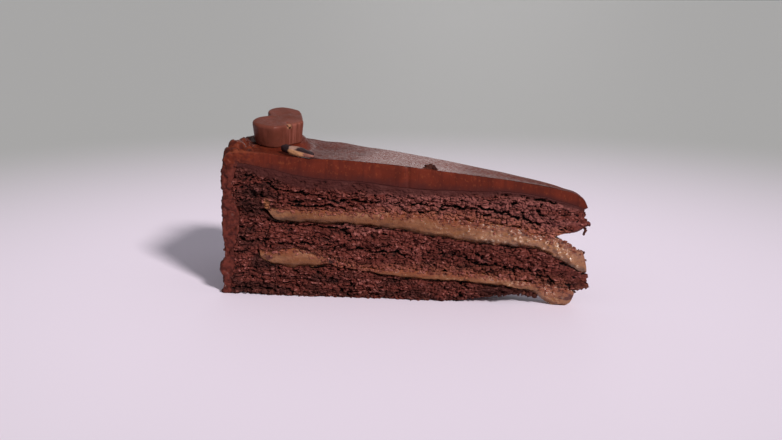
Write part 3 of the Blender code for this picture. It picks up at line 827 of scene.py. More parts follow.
def torn_crumb(radius, across, height, seed):
    """How far the torn crumb stands out of its cut.

    Clumps of three sizes lie in bent rows along the layer: each cell stands out by its own amount and is
    highest in its middle. Pits are small cells that have fallen out, a few everywhere, most along tears."""
    row = height + roughness(CRUMB_SWAY, radius, height, seed + 2)
    row = ripples(ROW_BEND, radius, height, seed + 13, row)
    bent = ripples(CRUMB_BEND, radius, height, seed + 11, radius)
    out = np.zeros(np.shape(radius))
    for number, (length, tall, uneven, dome, crease) in enumerate(CLUMPS):
        middle, gap, own = clumps(bent / length, row / tall, seed + 30 + 5 * number)
        out = out + uneven * own + dome * (CELL_MIDDLE - middle) - crease * (1 - ease(gap / CREASE_WIDTH))
    line = np.abs(ripple(radius / TEAR_SPACING[0], row / TEAR_SPACING[1], seed + 50))
    patch = ripple(radius / TEAR_PATCH[0], height / TEAR_PATCH[1], seed + 60)
    torn = ease(TEAR_PATCH_SLOPE * patch + TEAR_PATCH_SHARE) * (1 - ease(line / TEAR_WIDTH))
    whole = np.clip(patches(LIGHT_PATCHES, radius, height), 0.0, 1.0)
    front = np.maximum(OTHER_FRONT_TEARS * torn * (1 - whole), front_tears(radius, height))
    torn = np.where(across < 0, front, torn)
    middle, _, own = clumps(bent / PIT_SIZE[0], row / PIT_SIZE[1], seed + 70)
    pit = ease((own + TEAR_PULL * torn - PIT_RARITY) / PIT_BORDER)
    pit = pit * (1 - (1 - ease(torn)) * rise(middle, 0.3, PIT_BORDER))
    return out - pit * PIT_DEPTH * (1 + PIT_UNEVEN * own)


def crumb_shade(radius, height):
    """How dark the crumb is painted: most near the rim, at the foot and in a few patches, some of which are
    painted shadow, and least in the upper part near the tip."""
    shade = PLAIN_SHADE + stepped(RIM_SHADE, radius) + stepped(FOOT_SHADE, height)
    upper = stepped(UPPER_BEFORE_RIM, radius) * stepped(UPPER_HEIGHT, height)
    shade = shade - upper * (UPPER_PALE + stepped(PALER_BEHIND_TIP, radius))
    dark = DARK_PATCH_SHADE * patches(DARK_PATCHES, radius, height)
    return shade + dark - LIGHT_PATCH_SHADE * patches(LIGHT_PATCHES, radius, height)


def caramel_smear(radius, height):
    """1 where the knife has dragged caramel down over the crumb, uneven at its edges."""
    line = np.minimum(*[away_from(drip, radius, height) for drip in CARAMEL_DRIPS])
    return ripples(DRIP_WOBBLE, radius, height, 313, 1 - line / DRIP_WIDTH)


def rim_end(layer, through):
    """Rim end of a sponge layer: the frosting's inner face at the height of each point."""
    nearest = np.array([RIM_INNER[-1][1]])
    low, high = [float(layer[side](nearest, 0.0)[0]) for side in ("underside", "top")]
    return rim_inner(part_way(low, high, through)) - SEAM


def stain_above_upper(radius):
    """Caramel has soaked up into the top sponge, most near the tip and not past its own end."""
    stain = stepped(STAIN_BEGINS, radius) * (1 - stepped(STAIN_FADES, radius))
    return stain * (1 - stepped(STAIN_ENDS, radius))


# Each sponge's two faces, where it begins at the tip at its underside and at its top, the groove under the
# caramel above it, its stain from the caramel below it, how far its tip is hollowed and how near its top the
# relief ends
SPONGES = {
    "sponge_top": {
        "underside": top_sponge_underside, "top": top_sponge_top, "tip": (-1.2, 0.7), "seed": 20,
        "groove": lambda radius: 0.0, "stain": stain_above_upper, "hollow": 1.1, "flush": 1.2,
    },
    "sponge_middle": {
        "underside": middle_sponge_underside, "top": middle_sponge_top, "tip": (-1.5, -0.9), "seed": 40,
        "groove": lambda radius: 1 - 0.8 * rise(radius, 76.0, 10.0),
        "stain": lambda radius: 0.5 * (1 - rise(radius, 85.0, 15.0)), "hollow": 0.4, "flush": 0.01,
    },
    "sponge_bottom": {
        "underside": bottom_sponge_underside, "top": bottom_sponge_top, "tip": (20.5, 20.0), "seed": 60,
        "groove": lambda radius: 1 - 0.7 * rise(radius, 84.0, 10.0), "stain": lambda radius: 0.0,
        "hollow": 0.0, "flush": 0.01,
    },
}


def sponge_points(layer, along, across, through):
    """Points of a sponge layer and the values of its finish, for places along, across and through it."""
    first = part_way(*layer["tip"], through)
    radius = part_way(first, rim_end(layer, through), along)
    low = layer["underside"](radius, across)
    high = layer["top"](radius, across)
    height = part_way(low, high, through)
    below_top = high - height

    jag = sum(depth * ripple(height / size, across * 1.5, layer["seed"] + 80) for depth, size in TIP_JAGS)
    jag = jag + layer["hollow"] * np.sin(math.pi * through)
    spots = place(radius + jag * np.exp(-(radius - first) / TIP_JAG_FADE), across, height)

    soaked_low = frosting_underside(radius, across) - height_along(SOAKED_BAND, radius)
    soaked = ease(1 + (ripples(SOAKED_WOBBLE, radius, across, 311, height) - soaked_low) / SOAKED_BORDER)
    seeds = cut_seed(across, layer["seed"])
    torn = (1 - SOAKED_SMOOTHNESS * soaked) * torn_crumb(radius, across, height, seeds)
    groove = layer["groove"](radius) * ease(1 - below_top / GROOVE_HEIGHT)
    groove = groove * (1 - GROOVE_WOBBLE + GROOVE_WOBBLE * ripple(radius / 3, across, 312))
    out = roughness(CRUMB_SWELL, radius, height, seeds) + torn - GROOVE_DEPTH * groove
    spots = stood_out(spots, radius, across, out * ease(0.1 + below_top / layer["flush"]))

    stain_height = np.interp(radius, STAIN_SPAN, STAIN_HEIGHTS)
    # Low in pits and in the groove under the caramel, where the finish paints shade, and high on peaks, where
    # it paints highlights.
    lift = np.clip(LIFT_LEVEL + LIFT_GROWS * (torn - 0.8 * groove), 0.0, 1.0)
    return spots, {
        "lift": np.where(on_cut(across), lift, 0.5),
        "soaked": soaked,
        "stained": layer["stain"](radius) * (1 - ease((height - low) / stain_height)),
        "shade": crumb_shade(radius, height),
        "smear": (across < 0) * caramel_smear(radius, height),
    }


build_layers(SPONGES, sponge_points, SPONGE_CELLS, "_crumb", SPONGE)


# Caramel layers

CARAMEL_CELLS = (400, 9, 20)
CARAMEL_BULGE = 0.3
CARAMEL_EDGE = 0.7
CARAMEL_TIP_ROUNDING = 1.5
CRUMBY_DEPTH = 0.8

# Crumbs on the upper caramel's rim end, on the lower one where it is thin, on its rim end and on its blob at
# the tip, the fading of the wetness and the duller rim end: each step is its amount, its start and its length
UPPER_END_CRUMBS = (0.3, 97.0, 7.0)
THIN_BEGINS = (1.0, 70.0, 6.0)
THIN_ENDS = (1.0, 83.0, 5.0)
THIN_CRUMBS = 0.75
LOWER_END_CRUMBS = (0.35, 98.0, 6.0)
BLOB_ENDS = (1.0, 8.0, 5.0)
BLOB_CRUMBS = 0.35
WETNESS_FADES = (1.0, 12.0, 45.0)
DULLER_TO_RIM = (0.17, 70.0, 20.0)

# Beads all over the cut, and the wet ones at the tip, each as its radius, its height, its width and its depth
BEAD_DEPTH = 0.55
BEAD_SIZE = (1.8, 1.3)
WET_BEADS = (
    (12.8, 21.0, 0.65, 0.7), (11.4, 20.0, 0.6, 0.6), (10.1, 20.9, 0.7, 0.75), (8.4, 17.8, 0.6, 0.7),
    (7.6, 16.0, 0.6, 0.7), (4.5, 15.4, 0.75, 0.8), (6.0, 17.4, 0.65, 0.6), (9.0, 19.2, 0.7, 0.6),
    (2.6, 13.2, 0.6, 0.6),
)


def crumbs_on_upper(radius):
    """Crumbs lie on the upper caramel only at its end near the rim."""
    return stepped(UPPER_END_CRUMBS, radius)


def crumbs_on_lower(radius):
    """Crumbs hide the lower caramel where it is thin, and lie on its two ends."""
    thin = stepped(THIN_BEGINS, radius) * (1 - stepped(THIN_ENDS, radius))
    blob = BLOB_CRUMBS * (1 - stepped(BLOB_ENDS, radius))
    return np.maximum(THIN_CRUMBS * thin, stepped(LOWER_END_CRUMBS, radius)) + blob


# Each caramel's two faces, where it begins and ends at its underside and top, its crumbs and its wetness
CARAMELS = {
    "caramel_upper": {
        "underside": upper_caramel_underside, "top": upper_caramel_top, "tip": (-0.8, -0.6),
        "rim": (102.4, 105.4), "seed": 90, "crumby": crumbs_on_upper, "wettest": 1.0,
    },
    "caramel_lower": {
        "underside": lower_caramel_underside, "top": lower_caramel_top, "tip": (4.4, 2.4),
        "rim": (107.5, 108.0), "seed": 110, "crumby": crumbs_on_lower, "wettest": 0.5,
    },
}


def caramel_points(layer, along, across, through):
    """Points of a caramel layer: its cut bulges a little between its edges, and wet beads stand on it."""
    rounding = CARAMEL_TIP_ROUNDING * (2 * through - 1)**4 * (1 - along)**20
    radius = part_way(part_way(*layer["tip"], through), part_way(*layer["rim"], through), along) + rounding
    low = layer["underside"](radius, across) + SEAM
    high = np.maximum(layer["top"](radius, across) - SEAM, low + SEAM)
    height = part_way(low, high, through)
    seeds = cut_seed(across, layer["seed"])
    crumby = layer["crumby"](radius)
    wet = layer["wettest"] * (1 - stepped(WETNESS_FADES, radius))

    middle, _, own = clumps(radius / BEAD_SIZE[0], height / BEAD_SIZE[1], seeds + 30)
    bead = (1 - ease(1.5 * middle)) * np.clip(0.45 + own, 0.0, 1.2)
    out = roughness(CARAMEL_SWELL, radius, height, seeds) + BEAD_DEPTH * (0.3 + 0.9 * wet) * bead
    out = out + roughness(CARAMEL_DRAG, radius, height, seeds + 40) - CRUMBY_DEPTH * crumby
    for bead_radius, bead_height, wide, deep in WET_BEADS:
        away = np.hypot(radius - bead_radius, height - bead_height)
        out = out + (across < 0) * deep * hump(away, 0.0, wide) / breadth(radius)
    edge = np.maximum(1 - ease(through / 0.2), 0.5 * rise(along, 0.96, 0.04))
    out = out + CARAMEL_BULGE * (1 - (2 * through - 1)**2) - CARAMEL_EDGE * edge
    # The finish colours the caramel darker where this level is low, partly as painted shade.
    level = through + 0.4 * (1 - layer["wettest"]) - stepped(DULLER_TO_RIM, radius)
    spots = stood_out(place(radius, across, height), radius, across, out)
    return spots, {"level": level, "crumby": crumby, "wet": wet}


build_layers(CARAMELS, caramel_points, CARAMEL_CELLS, "_filling", CARAMEL)


# Frosting

TOP_CELLS = 290
CORNER_CELLS = 12
RIM_CELLS = 110
FROSTING_ACROSS = 92
FROSTING_THROUGH = 13
EDGE_START = 0.93
EDGE_STEPS = (0.955, 0.975, 0.99, 1.0)
EDGE_ROUNDING = 0.45

# Where the heart stands, and how its foot rises per millimetre towards the back and towards the rim
HEART_RADIUS = 104.5
HEART_ASIDE = 0.25
HEART_FOOT = 50.2
HEART_RISE_BACK = 0.191
HEART_RISE_RIM = 0.128
HEART_GAP = 0.05

# The frosting's swell below the heart
SWELL_RADIUS = 105.5
SWELL_HALF_LENGTH = 8.5
SWELL_HALF_WIDTH = 11.0
SWELL_BORDER = 0.5
SWELL_REACH = 1.3

# A low ridge of frosting along the top of the rim, where the spatula stopped
RIDGE_HEIGHT = 2.2
RIDGE_RADIUS = 116.6
RIDGE_WIDTH = 5.0
RIDGE_START = -0.88
RIDGE_GROWS = 0.2
RIDGE_HUMP_START = -0.4
RIDGE_HUMP = 0.9

# The lip over the rim, and crags, each kind as its depth, its length and its height
LIP_RISE = 1.1
LIP_RADIUS = 118.9
LIP_WIDTH = 2.3
LIP_SWELL = (1.1, 2.6, 2.0)
LIP_CRAGS = (0.5, 1.7, 1.7)
CUT_CRAGS = (0.45, 2.1, 1.6)
RIM_CRAGS = ((0.5, 2.4, 1.9), (0.25, 1.1, 0.9))
RIM_UNEVEN = 0.8

# The top is raised along the back cut, with one hump, and the knife left a seam: (radius, width, height or
# depth)
TOP_LIFT = 0.6
BACK_HUMP = (92.5, 8.0, 1.1)
KNIFE_SEAM = (57.6, 0.6, 0.35)

# Radii between which the top is grainy and painted lighter for its sheen, and the dark smear under the nut
# with spots, as (x, y) from the tip. The smear is partly real and partly painted shadow of the nut, and some
# spots are painted shade beside the nut and the heart's foot.
GRAINY = (36.5, 78.0)
NUT_SMEAR_AND_SHADOW = ((-101.0, -10.5), (-97.6, -10.5), (-93.6, -12.5), (-88.5, -15.2), (-86.6, -17.6))
SMEAR_WIDTH = 1.5
SMEAR_DEPTH = 0.3
SMEAR_WOBBLE = ((0.3, 0.9, 0.9),)
DARK_SPOTS_AND_SHADOWS = (
    (-88.3, -8.8, 0.8), (-102.0, -12.5, 1.6), (-113.6, -3.5, 2.2), (-113.0, -8.0, 1.8), (-76.0, -11.0, 0.5),
)


def joined_lines(*lines):
    return np.concatenate([np.stack(line, axis=1) for line in lines])


def frosting_lines():
    """Outer and inner line of the frosting: from the tip along the top, round the corner, down the rim."""
    top_share = (np.arange(TOP_CELLS + 1) / TOP_CELLS)**TIP_CROWDING
    corner_share = np.arange(1, CORNER_CELLS) / CORNER_CELLS
    rim_share = np.arange(RIM_CELLS + 1) / RIM_CELLS

    corner_top = height_along(RIM_OUTER, np.array([RIM_HEIGHT]))[0] - RIM_CORNER_RADIUS
    corner_side = RIM_HEIGHT - RIM_CORNER_RADIUS
    quarter = corner_share * math.pi / 2
    top = part_way(FROSTING_TOP[0][0], corner_top, top_share)
    down = corner_side * (1 - rim_share)
    outer = joined_lines(
        (top, height_along(FROSTING_TOP, top)),
        (corner_top + RIM_CORNER_RADIUS * np.sin(quarter), corner_side + RIM_CORNER_RADIUS * np.cos(quarter)),
        (height_along(RIM_OUTER, down), down))

    inner_height = float(height_along(FROSTING_UNDERSIDE, np.array([RIM_INNER[-1][1]]))[0])
    inner_radius = float(rim_inner(np.array([inner_height]))[0])
    top_end = inner_radius - RIM_CORNER_RADIUS / 2
    rim_start = inner_height - RIM_CORNER_RADIUS / 2
    under = part_way(FROSTING_UNDERSIDE[0][0], top_end, top_share)
    down = rim_start * (1 - rim_share)
    corner = part_way(top_end, inner_radius, np.clip(2 * corner_share, 0.0, 1.0))
    corner_height = part_way(inner_height, rim_start, np.clip(2 * corner_share - 1, 0.0, 1.0))
    inner = joined_lines(
        (under, height_along(FROSTING_UNDERSIDE, under)),
        (corner, np.minimum(corner_height, height_along(FROSTING_UNDERSIDE, corner))),
        (rim_inner(down), down))
    return outer, inner


def ridge_height(radius, across):
    """The ridge starts a little behind the front cut, and has a higher hump beside the heart."""
    level = RIDGE_HEIGHT * rise(across, RIDGE_START, RIDGE_GROWS)
    level = level + RIDGE_HUMP * rise(across, RIDGE_HUMP_START, RIDGE_GROWS)
    return level * hump(radius, RIDGE_RADIUS, RIDGE_WIDTH)


def meet_heart(spots):
    """The frosting rises to the plane of the heart's foot below it, less around it, and nowhere past it."""
    x, y, height = (spots - CAKE_MIDDLE).T
    foot = HEART_FOOT + HEART_RISE_BACK * (y - HEART_ASIDE) - HEART_RISE_RIM * (x + HEART_RADIUS) - HEART_GAP
    away = np.hypot((x + SWELL_RADIUS) / SWELL_HALF_LENGTH, (y - HEART_ASIDE) / SWELL_HALF_WIDTH)
    below = 1 - ease((away - 1 + SWELL_BORDER / 2) / SWELL_BORDER)
    risen = height + below * np.maximum(foot - height, 0.0)
    return np.where(away < SWELL_REACH, np.minimum(risen, foot), risen)


def rim_relief(sideways, across, height):
    """Swells, none at the front cut, and crags of two sizes over the rim's outer face."""
    rough = roughness(RIM_SWELL, sideways, height, 140) * rise(across, -1.0, RIDGE_GROWS)
    for number, kind in enumerate(RIM_CRAGS):
        rough = rough + crags(kind, sideways, height, 145 + 5 * number, RIM_UNEVEN)
    return rough


def cut_relief(radius, across, height, through, on_top, rim_share):
    """The frosting's cut: swells, upright marks, crags near the rim, one knife seam and a rounded edge."""
    seeds = cut_seed(across, 150)
    out = roughness(FROSTING_SWELL, radius, height, seeds)
    out = out + roughness(FROSTING_DRAG, radius, height, seeds + 3)
    out = out + rim_share * crags(CUT_CRAGS, radius, height, seeds + 6)
    out = out * np.where(on_top, ease(0.1 + through / 0.3), 1.0)
    where, width, deep = KNIFE_SEAM
    out = out - deep * hump(radius, where, width) * (across < 0) * on_top
    return out - EDGE_ROUNDING * np.clip((through - EDGE_START) / (1 - EDGE_START), 0, 1)**2


def top_relief(radius, across, sideways, crag_share):
    """The frosting's top: the ridge, slow waves, the lip over the rim, its crags and the raised back."""
    waves = roughness(TOP_SWELL, radius, sideways, 130) * ease(radius / TOP_SWELL[1])
    lip = LIP_RISE * hump(radius, LIP_RADIUS, LIP_WIDTH) * rise(across, -1.0, 0.12)
    lip = lip * (1 - rise(across, -0.5, 0.4))
    craggy = roughness(LIP_SWELL, radius, sideways, 160) + crags(LIP_CRAGS, radius, sideways, 165)
    back = TOP_LIFT * rise(across, -0.3, 1.3) * rise(radius, 6.0, 14.0) * (1 - rise(radius, 70.0, 25.0))
    where, width, high = BACK_HUMP
    back = back + high * hump(radius, where, width) * rise(across, 0.1, 0.9)
    return ridge_height(radius, across) + waves + lip + craggy * crag_share + back


def smear_and_painted_shadow(spots):
    """1 where the top is painted dark: partly a smear left by the nut and crumbs, partly painted shadow
    beside the nut and the heart's foot.
    """
    x, y = spots[:, 0] - CAKE_MIDDLE[0], spots[:, 1] - CAKE_MIDDLE[1]
    smear = ease(ripples(SMEAR_WOBBLE, x, y, 170, 1.2 - away_from(NUT_SMEAR_AND_SHADOW, x, y) / SMEAR_WIDTH))
    for spot_x, spot_y, wide in DARK_SPOTS_AND_SHADOWS:
        smear = np.maximum(smear, ease(1.2 - np.hypot(x - spot_x, y - spot_y) / wide))
    return smear


def build_frosting():
    """The frosting's L-shaped section, carried across the wedge."""
    outer, inner = frosting_lines()
    edges_through = np.concatenate([np.linspace(0.0, EDGE_START, FROSTING_THROUGH + 1), EDGE_STEPS])
    station, across, through, faces = block(
        np.arange(len(outer)), np.linspace(-1.0, 1.0, FROSTING_ACROSS + 1), edges_through)
    radius = inner[station, 0] * (1 - through) + outer[station, 0] * through
    height = inner[station, 1] * (1 - through) + outer[station, 1] * through
    on_top = station < TOP_CELLS + CORNER_CELLS
    height = height + on_top * (1 - through) * ragged(RAGGED_FROSTING, radius, across, seed=250)

    outside = through > ON_CUT
    sideways = radius * across * HALF_ANGLE
    at_cut = on_cut(across)
    spots = place(radius, across, height)
    rim_face = outside * rise(radius, RIDGE_RADIUS, RIM_CORNER_RADIUS)
    spots[:, 0] -= rim_face * rim_relief(sideways, across, height)
    rim_share = rise(radius, 100.0, 16.0)
    spots = stood_out(spots, radius, across, cut_relief(radius, across, height, through, on_top, rim_share))

    top_face = outside & on_top
    crag_share = rise(radius, 106.0, 4.0) * ease((-0.15 - across) / 0.3)
    smear = smear_and_painted_shadow(spots)
    spots[:, 2] += top_face * (top_relief(radius, across, sideways, crag_share) - SMEAR_DEPTH * smear)
    spots[:, 2] = np.where(top_face, meet_heart(spots), spots[:, 2])
    spots[:, 2] = np.where(height <= 0.0, 0.0, spots[:, 2])

    piece = add_piece("frosting_coat", spots, faces, FROSTING, {
        "crag": np.maximum(crag_share * top_face, 0.6 * rim_share * at_cut),
        "depth": through,
        # Dark smear, partly painted shadow
        "smear": smear * top_face,
        "rim": np.maximum(rim_face, at_cut * rise(radius, 112.0, 4.0)) * ease((46.0 - height) / 4.0),
        # Grainy part of the top, which the finish also paints lighter for its sheen
        "grain": top_face * ease((GRAINY[1] - radius) / 7.0) * rise(radius, GRAINY[0], 10.0),
        # Where the painted highlight runs along the cut's top edge
        "edge": at_cut * rim_share * on_top * rise(through, 0.9, 0.08),
    })
    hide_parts("frosting")


build_frosting()


# The chocolate heart

HEART_HALF_WIDTH = 10.85
HEART_LENGTH_SHARE = 1.34
HEART_TIP_SHARE = 0.43
HEART_WAVES_ACROSS = (0.826, 0.174)
HEART_WAVES_ALONG = (0.812, 0.262, 0.079, 0.026)
HEART_THICKNESS = 7.8
HEART_TURN = math.radians(-3.0)
HEART_SIDES = 240
HEART_RINGS = 130

# From the middle of the foot to the middle of the top: (share of the outline, share of the thickness)
HEART_PROFILE = (
    (0.0, 0.0), (0.5, 0.0), (0.86, 0.0), (0.9, 0.02), (0.915, 0.06), (0.93, 0.2), (0.95, 0.45), (0.97, 0.7),
    (0.983, 0.84), (0.985, 0.9), (0.975, 0.95), (0.95, 0.982), (0.92, 0.995), (0.88, 1.0), (0.7, 0.995),
    (0.4, 0.985), (0.0, 0.985),
)

# Scuffs, each as its depth and how often it changes round and up the side
HEART_SCUFFS = ((0.006, 14, 1.5), (0.008, 3, 2))

# Chips of the top edge, as (x, y, width, depth), and the ridged side: its middle, its reach and its depth.
# The ridged side is also painted lighter, as a highlight.
HEART_CHIPS = ((-6.6, -4.7, 0.8, 0.9), (-4.9, -3.4, 1.0, 0.35), (-3.4, -2.0, 0.5, 0.3))
CRUSHED_CHIPS = 2
RIDGED_SIDE = (-3.0, -5.0)
RIDGED_REACH = 6.0
RIDGE_DEPTH = 0.03
RIDGES_ROUND = 26
RIDGES_UP = 0.8
RIDGED_LEVELS = (0.05, 0.97)

# Shallow dents of the top: their depth and their size
DENT_DEPTH = 0.12
DENT_SIZE = 3.0


def heart_outline(turn):
    """Heart curve made of a few waves, its tip round and shortened, pointing to -Y."""
    x = HEART_WAVES_ACROSS[0] * np.sin(turn) - HEART_WAVES_ACROSS[1] * np.sin(3 * turn)
    y = HEART_WAVES_ALONG[0] * np.cos(turn)
    for number, size in enumerate(HEART_WAVES_ALONG[1:]):
        y = y - size * np.cos((number + 2) * turn)
    y = np.where(y < 0, y * HEART_TIP_SHARE, y)
    return x * HEART_HALF_WIDTH, y * HEART_LENGTH_SHARE * HEART_HALF_WIDTH


def heart_axes():
    """Where the heart's own axes point: across it, away from its tip, and up from its tilted foot."""
    upward = Vector((HEART_RISE_RIM, -HEART_RISE_BACK, 1.0)).normalized()
    tip = Vector((math.cos(HEART_TURN), math.sin(HEART_TURN), 0.0))
    away = -(tip - upward * tip.dot(upward)).normalized()
    return np.array([away.cross(upward), away, upward])


def build_heart():
    """The heart curve, scaled and lifted along its profile, from its foot's middle to its top's."""
    share, level = even_steps(HEART_PROFILE, (HEART_HALF_WIDTH, HEART_THICKNESS), HEART_RINGS)
    foot, top = level[0, 0], level[-1, 0]
    share, level = share[1:-1], level[1:-1]
    turn = full_turn(HEART_SIDES)
    across, along = heart_outline(turn)
    x, y = across * share, along * share
    ridged = 1 - ease(np.hypot(x - RIDGED_SIDE[0], y - RIDGED_SIDE[1]) / RIDGED_REACH)
    ridges = ridged * ripple(turn * RIDGES_ROUND, level * RIDGES_UP, 413)
    ridges = ridges * (level > RIDGED_LEVELS[0]) * (level < RIDGED_LEVELS[1])
    scuff = scuffed(HEART_SCUFFS, turn, level, 410) + RIDGE_DEPTH * ridges
    dent = DENT_DEPTH * ripple(x / DENT_SIZE, y / DENT_SIZE, 412) * (level > 0.9)
    chipped = np.zeros((HEART_RINGS, HEART_SIDES))
    for number, (chip_x, chip_y, wide, deep) in enumerate(HEART_CHIPS):
        away = np.hypot(x - chip_x, y - chip_y)
        dent = dent - deep * hump(away, 0.0, wide) * rise(level, 0.75, 0.15)
        chipped = chipped + hump(away, 0.0, 1.1 * wide) * (level > 0.8) * (number < CRUSHED_CHIPS)
    rings = np.stack([x * scuff, y * scuff, HEART_THICKNESS * level + dent], axis=-1).reshape(-1, 3)
    flat = np.concatenate([[[0.0, 0.0, HEART_THICKNESS * foot]], rings, [[0.0, 0.0, HEART_THICKNESS * top]]])
    points = flat @ heart_axes() + np.array([-HEART_RADIUS, HEART_ASIDE, HEART_FOOT]) + CAKE_MIDDLE
    # Painted highlight over the ridged part, stored for the finish.
    painted_flank_highlight = with_poles(np.clip(0.5 * ridged + ridges, 0, 1))
    values = {"chipped": with_poles(np.clip(chipped, 0, 1)), "painted_flank_highlight": painted_flank_highlight}
    faces = closed_turning(HEART_RINGS, HEART_SIDES)
    piece = add_piece("chocolate_heart_moulded", points, faces, CHOCOLATE, values)
    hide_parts("chocolate_heart")


build_heart()


# The nut shard

SHARD_WIDTH = 3.5
SHARD_THICKNESS = 2.8
SHARD_LEFT_END = (-99.4, -14.2, 49.8)
SHARD_RIGHT_END = (-86.6, -18.2, 48.3)
SHARD_SIDES = 40
SHARD_RINGS = 70
SHARD_FLATNESS = 0.7
SHARD_CHIPS = ((0.10, 1.9, 4.0), (0.06, 4.1, 11.0))

# From the left end to the right one: (share of the length, share of the width)
SHARD_PROFILE = (
    (0.0, 0.0), (0.0, 0.5), (0.06, 0.85), (0.3, 1.0), (0.62, 0.95), (0.74, 0.78), (0.9, 0.66), (0.98, 0.4),
    (1.0, 0.0),
)


def boxed(wave):
    """A sine or cosine whose circle has flatter sides."""
    return np.sign(wave) * np.abs(wave)**SHARD_FLATNESS


def build_shard():
    """A flattened bar with blunt ends: a rounded section whose size follows the profile from end to end."""
    left = np.array(SHARD_LEFT_END)
    right = np.array(SHARD_RIGHT_END)
    length = np.linalg.norm(right - left)
    level, share = even_steps(SHARD_PROFILE, (length, SHARD_WIDTH / 2), SHARD_RINGS)
    turn = full_turn(SHARD_SIDES)
    chip = scuffed(SHARD_CHIPS, turn, level, 420)
    wide = boxed(np.cos(turn)) * share * chip * SHARD_WIDTH / 2
    thick = boxed(np.sin(turn)) * share * chip * SHARD_THICKNESS / 2
    turned = np.array(Vector(right - left).normalized().to_track_quat("Z", "Y").to_matrix()).T
    rings = wide[..., None] * turned[0] + thick[..., None] * turned[1]
    rings = rings + (level * length)[..., None] * turned[2]
    points = np.concatenate([rings[0, :1], rings[1:-1].reshape(-1, 3), rings[-1, :1]]) + left + CAKE_MIDDLE
    upper = np.broadcast_to(np.sin(turn), (SHARD_RINGS, SHARD_SIDES))
    along = with_poles(np.repeat(level[1:-1, 0], SHARD_SIDES), last=1.0)
    values = {"length": along, "upper": with_poles(upper)}
    faces = closed_turning(SHARD_RINGS, SHARD_SIDES)
    piece = add_piece("nut_shard_split", points, faces, NUT, values)
    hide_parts("nut_shard")


build_shard()


# Loose flakes of crumb that cling to the two cuts

CRUMB_SEED = 7
PEBBLE_RINGS = 3
PEBBLE_SIDES = 6
PEBBLE_CRAGGINESS = 0.38
FLAKES_A_LAYER = 1200
FLAKE_SIZE = (0.22, 0.55)
FLAKE_LENGTH = (1.0, 2.2)
FLAKE_HEIGHT = (0.45, 0.8)
FLAKE_STANDS_OUT = 0.15
FEWER_WHERE_SOAKED = 0.93

# Crumbs under the arch near the tip, partly the sponge's torn underside and partly dark crumbs put there as
# painted shade: their radii, how far below the caramel they hang and their half size
ARCH_CRUMBS = 150
ARCH_REACH = (15.2, 24.5)
ARCH_DROP = (0.1, 2.0)
ARCH_CRUMB_SIZE = (0.4, 0.8)

# Crumbs on the caramel: their half size and how far they stray down from its upper edge
CARAMEL_CRUMBS = 420
CARAMEL_CRUMB_SIZE = (0.2, 0.5)
CARAMEL_CRUMB_SPREAD = 0.16

# Crumbs that hide the lower caramel where it is thin, between these shares of its length
COVER_CRUMBS = 110
COVERED = (0.65, 0.80)

# Crumbs that stand on their own, at the tip, on the rim, at the foot and on the top: (radius, place across,
# height, half size)
LONE_CRUMBS = (
    (0.7, -0.3, 31.4, 0.5), (0.1, -0.3, 29.2, 0.6), (-0.6, -0.2, 28.2, 0.65), (-1.0, -0.1, 27.7, 0.45),
    (0.7, -0.4, 27.0, 0.6), (0.3, -0.4, 26.5, 0.5), (0.1, -0.4, 26.0, 0.5), (0.2, -0.4, 25.5, 0.48),
    (0.5, -0.4, 25.0, 0.48), (0.6, -0.4, 24.5, 0.45), (0.5, -0.2, 18.4, 0.6), (1.3, -0.4, 18.7, 0.65),
    (2.2, -0.5, 19.0, 0.55), (3.2, -0.6, 19.5, 0.5), (4.7, -0.8, 20.6, 0.5), (6.2, -0.9, 21.4, 0.5),
    (-0.2, 0.0, 16.3, 0.4), (-0.9, -0.2, 10.6, 0.5), (-1.3, 0.0, 7.0, 0.55), (-0.8, -0.3, 6.5, 0.5),
    (0.5, -0.5, 6.2, 0.5), (1.7, -0.6, 5.7, 0.5), (2.6, -0.8, 4.9, 0.45),
    (120.3, -0.97, 24.4, 0.6), (121.5, -0.97, 8.4, 0.7), (120.9, -0.98, 7.4, 0.55), (121.0, -0.97, 0.9, 0.7),
    (120.2, -0.98, 15.2, 0.5), (120.8, -0.97, 4.1, 0.5), (119.8, -0.98, 31.0, 0.45),
    (119.5, -0.98, 38.5, 0.5),
    (104.0, -1.01, 0.6, 0.8), (106.5, -1.02, 0.5, 1.0), (109.0, -1.01, 0.6, 0.7), (113.0, -1.01, 0.5, 0.6),
    (96.0, -1.01, 0.5, 0.6), (84.0, -1.01, 0.5, 0.7), (71.0, -1.01, 0.5, 0.5), (52.0, -1.02, 0.5, 0.6),
    (51.6, -0.76, 44.4, 1.15), (50.6, -0.78, 44.9, 1.3), (49.6, -0.77, 44.5, 1.1), (50.4, -0.68, 45.1, 0.95),
    (52.3, -0.80, 44.2, 0.8), (48.9, -0.82, 44.1, 0.8),
)


def pebble():
    """A small ball of three rings of six points and two poles, and its faces."""
    tilt = (np.arange(1, PEBBLE_RINGS + 1) * math.pi / (PEBBLE_RINGS + 1))[:, None]
    turn = full_turn(PEBBLE_SIDES)
    level = np.repeat(-np.cos(tilt), PEBBLE_SIDES, axis=1)
    ring = [np.sin(tilt) * np.cos(turn), np.sin(tilt) * np.sin(turn), level]
    points = np.concatenate([[[0.0, 0.0, -1.0]], np.stack(ring, axis=-1).reshape(-1, 3), [[0.0, 0.0, 1.0]]])
    return points, closed_turning(PEBBLE_RINGS, PEBBLE_SIDES)


def rotated(first, second, angle):
    """A pair of coordinates of every pebble's points, turned by the pebble's angle."""
    cosine, sine = np.cos(angle)[:, None], np.sin(angle)[:, None]
    return first * cosine - second * sine, first * sine + second * cosine


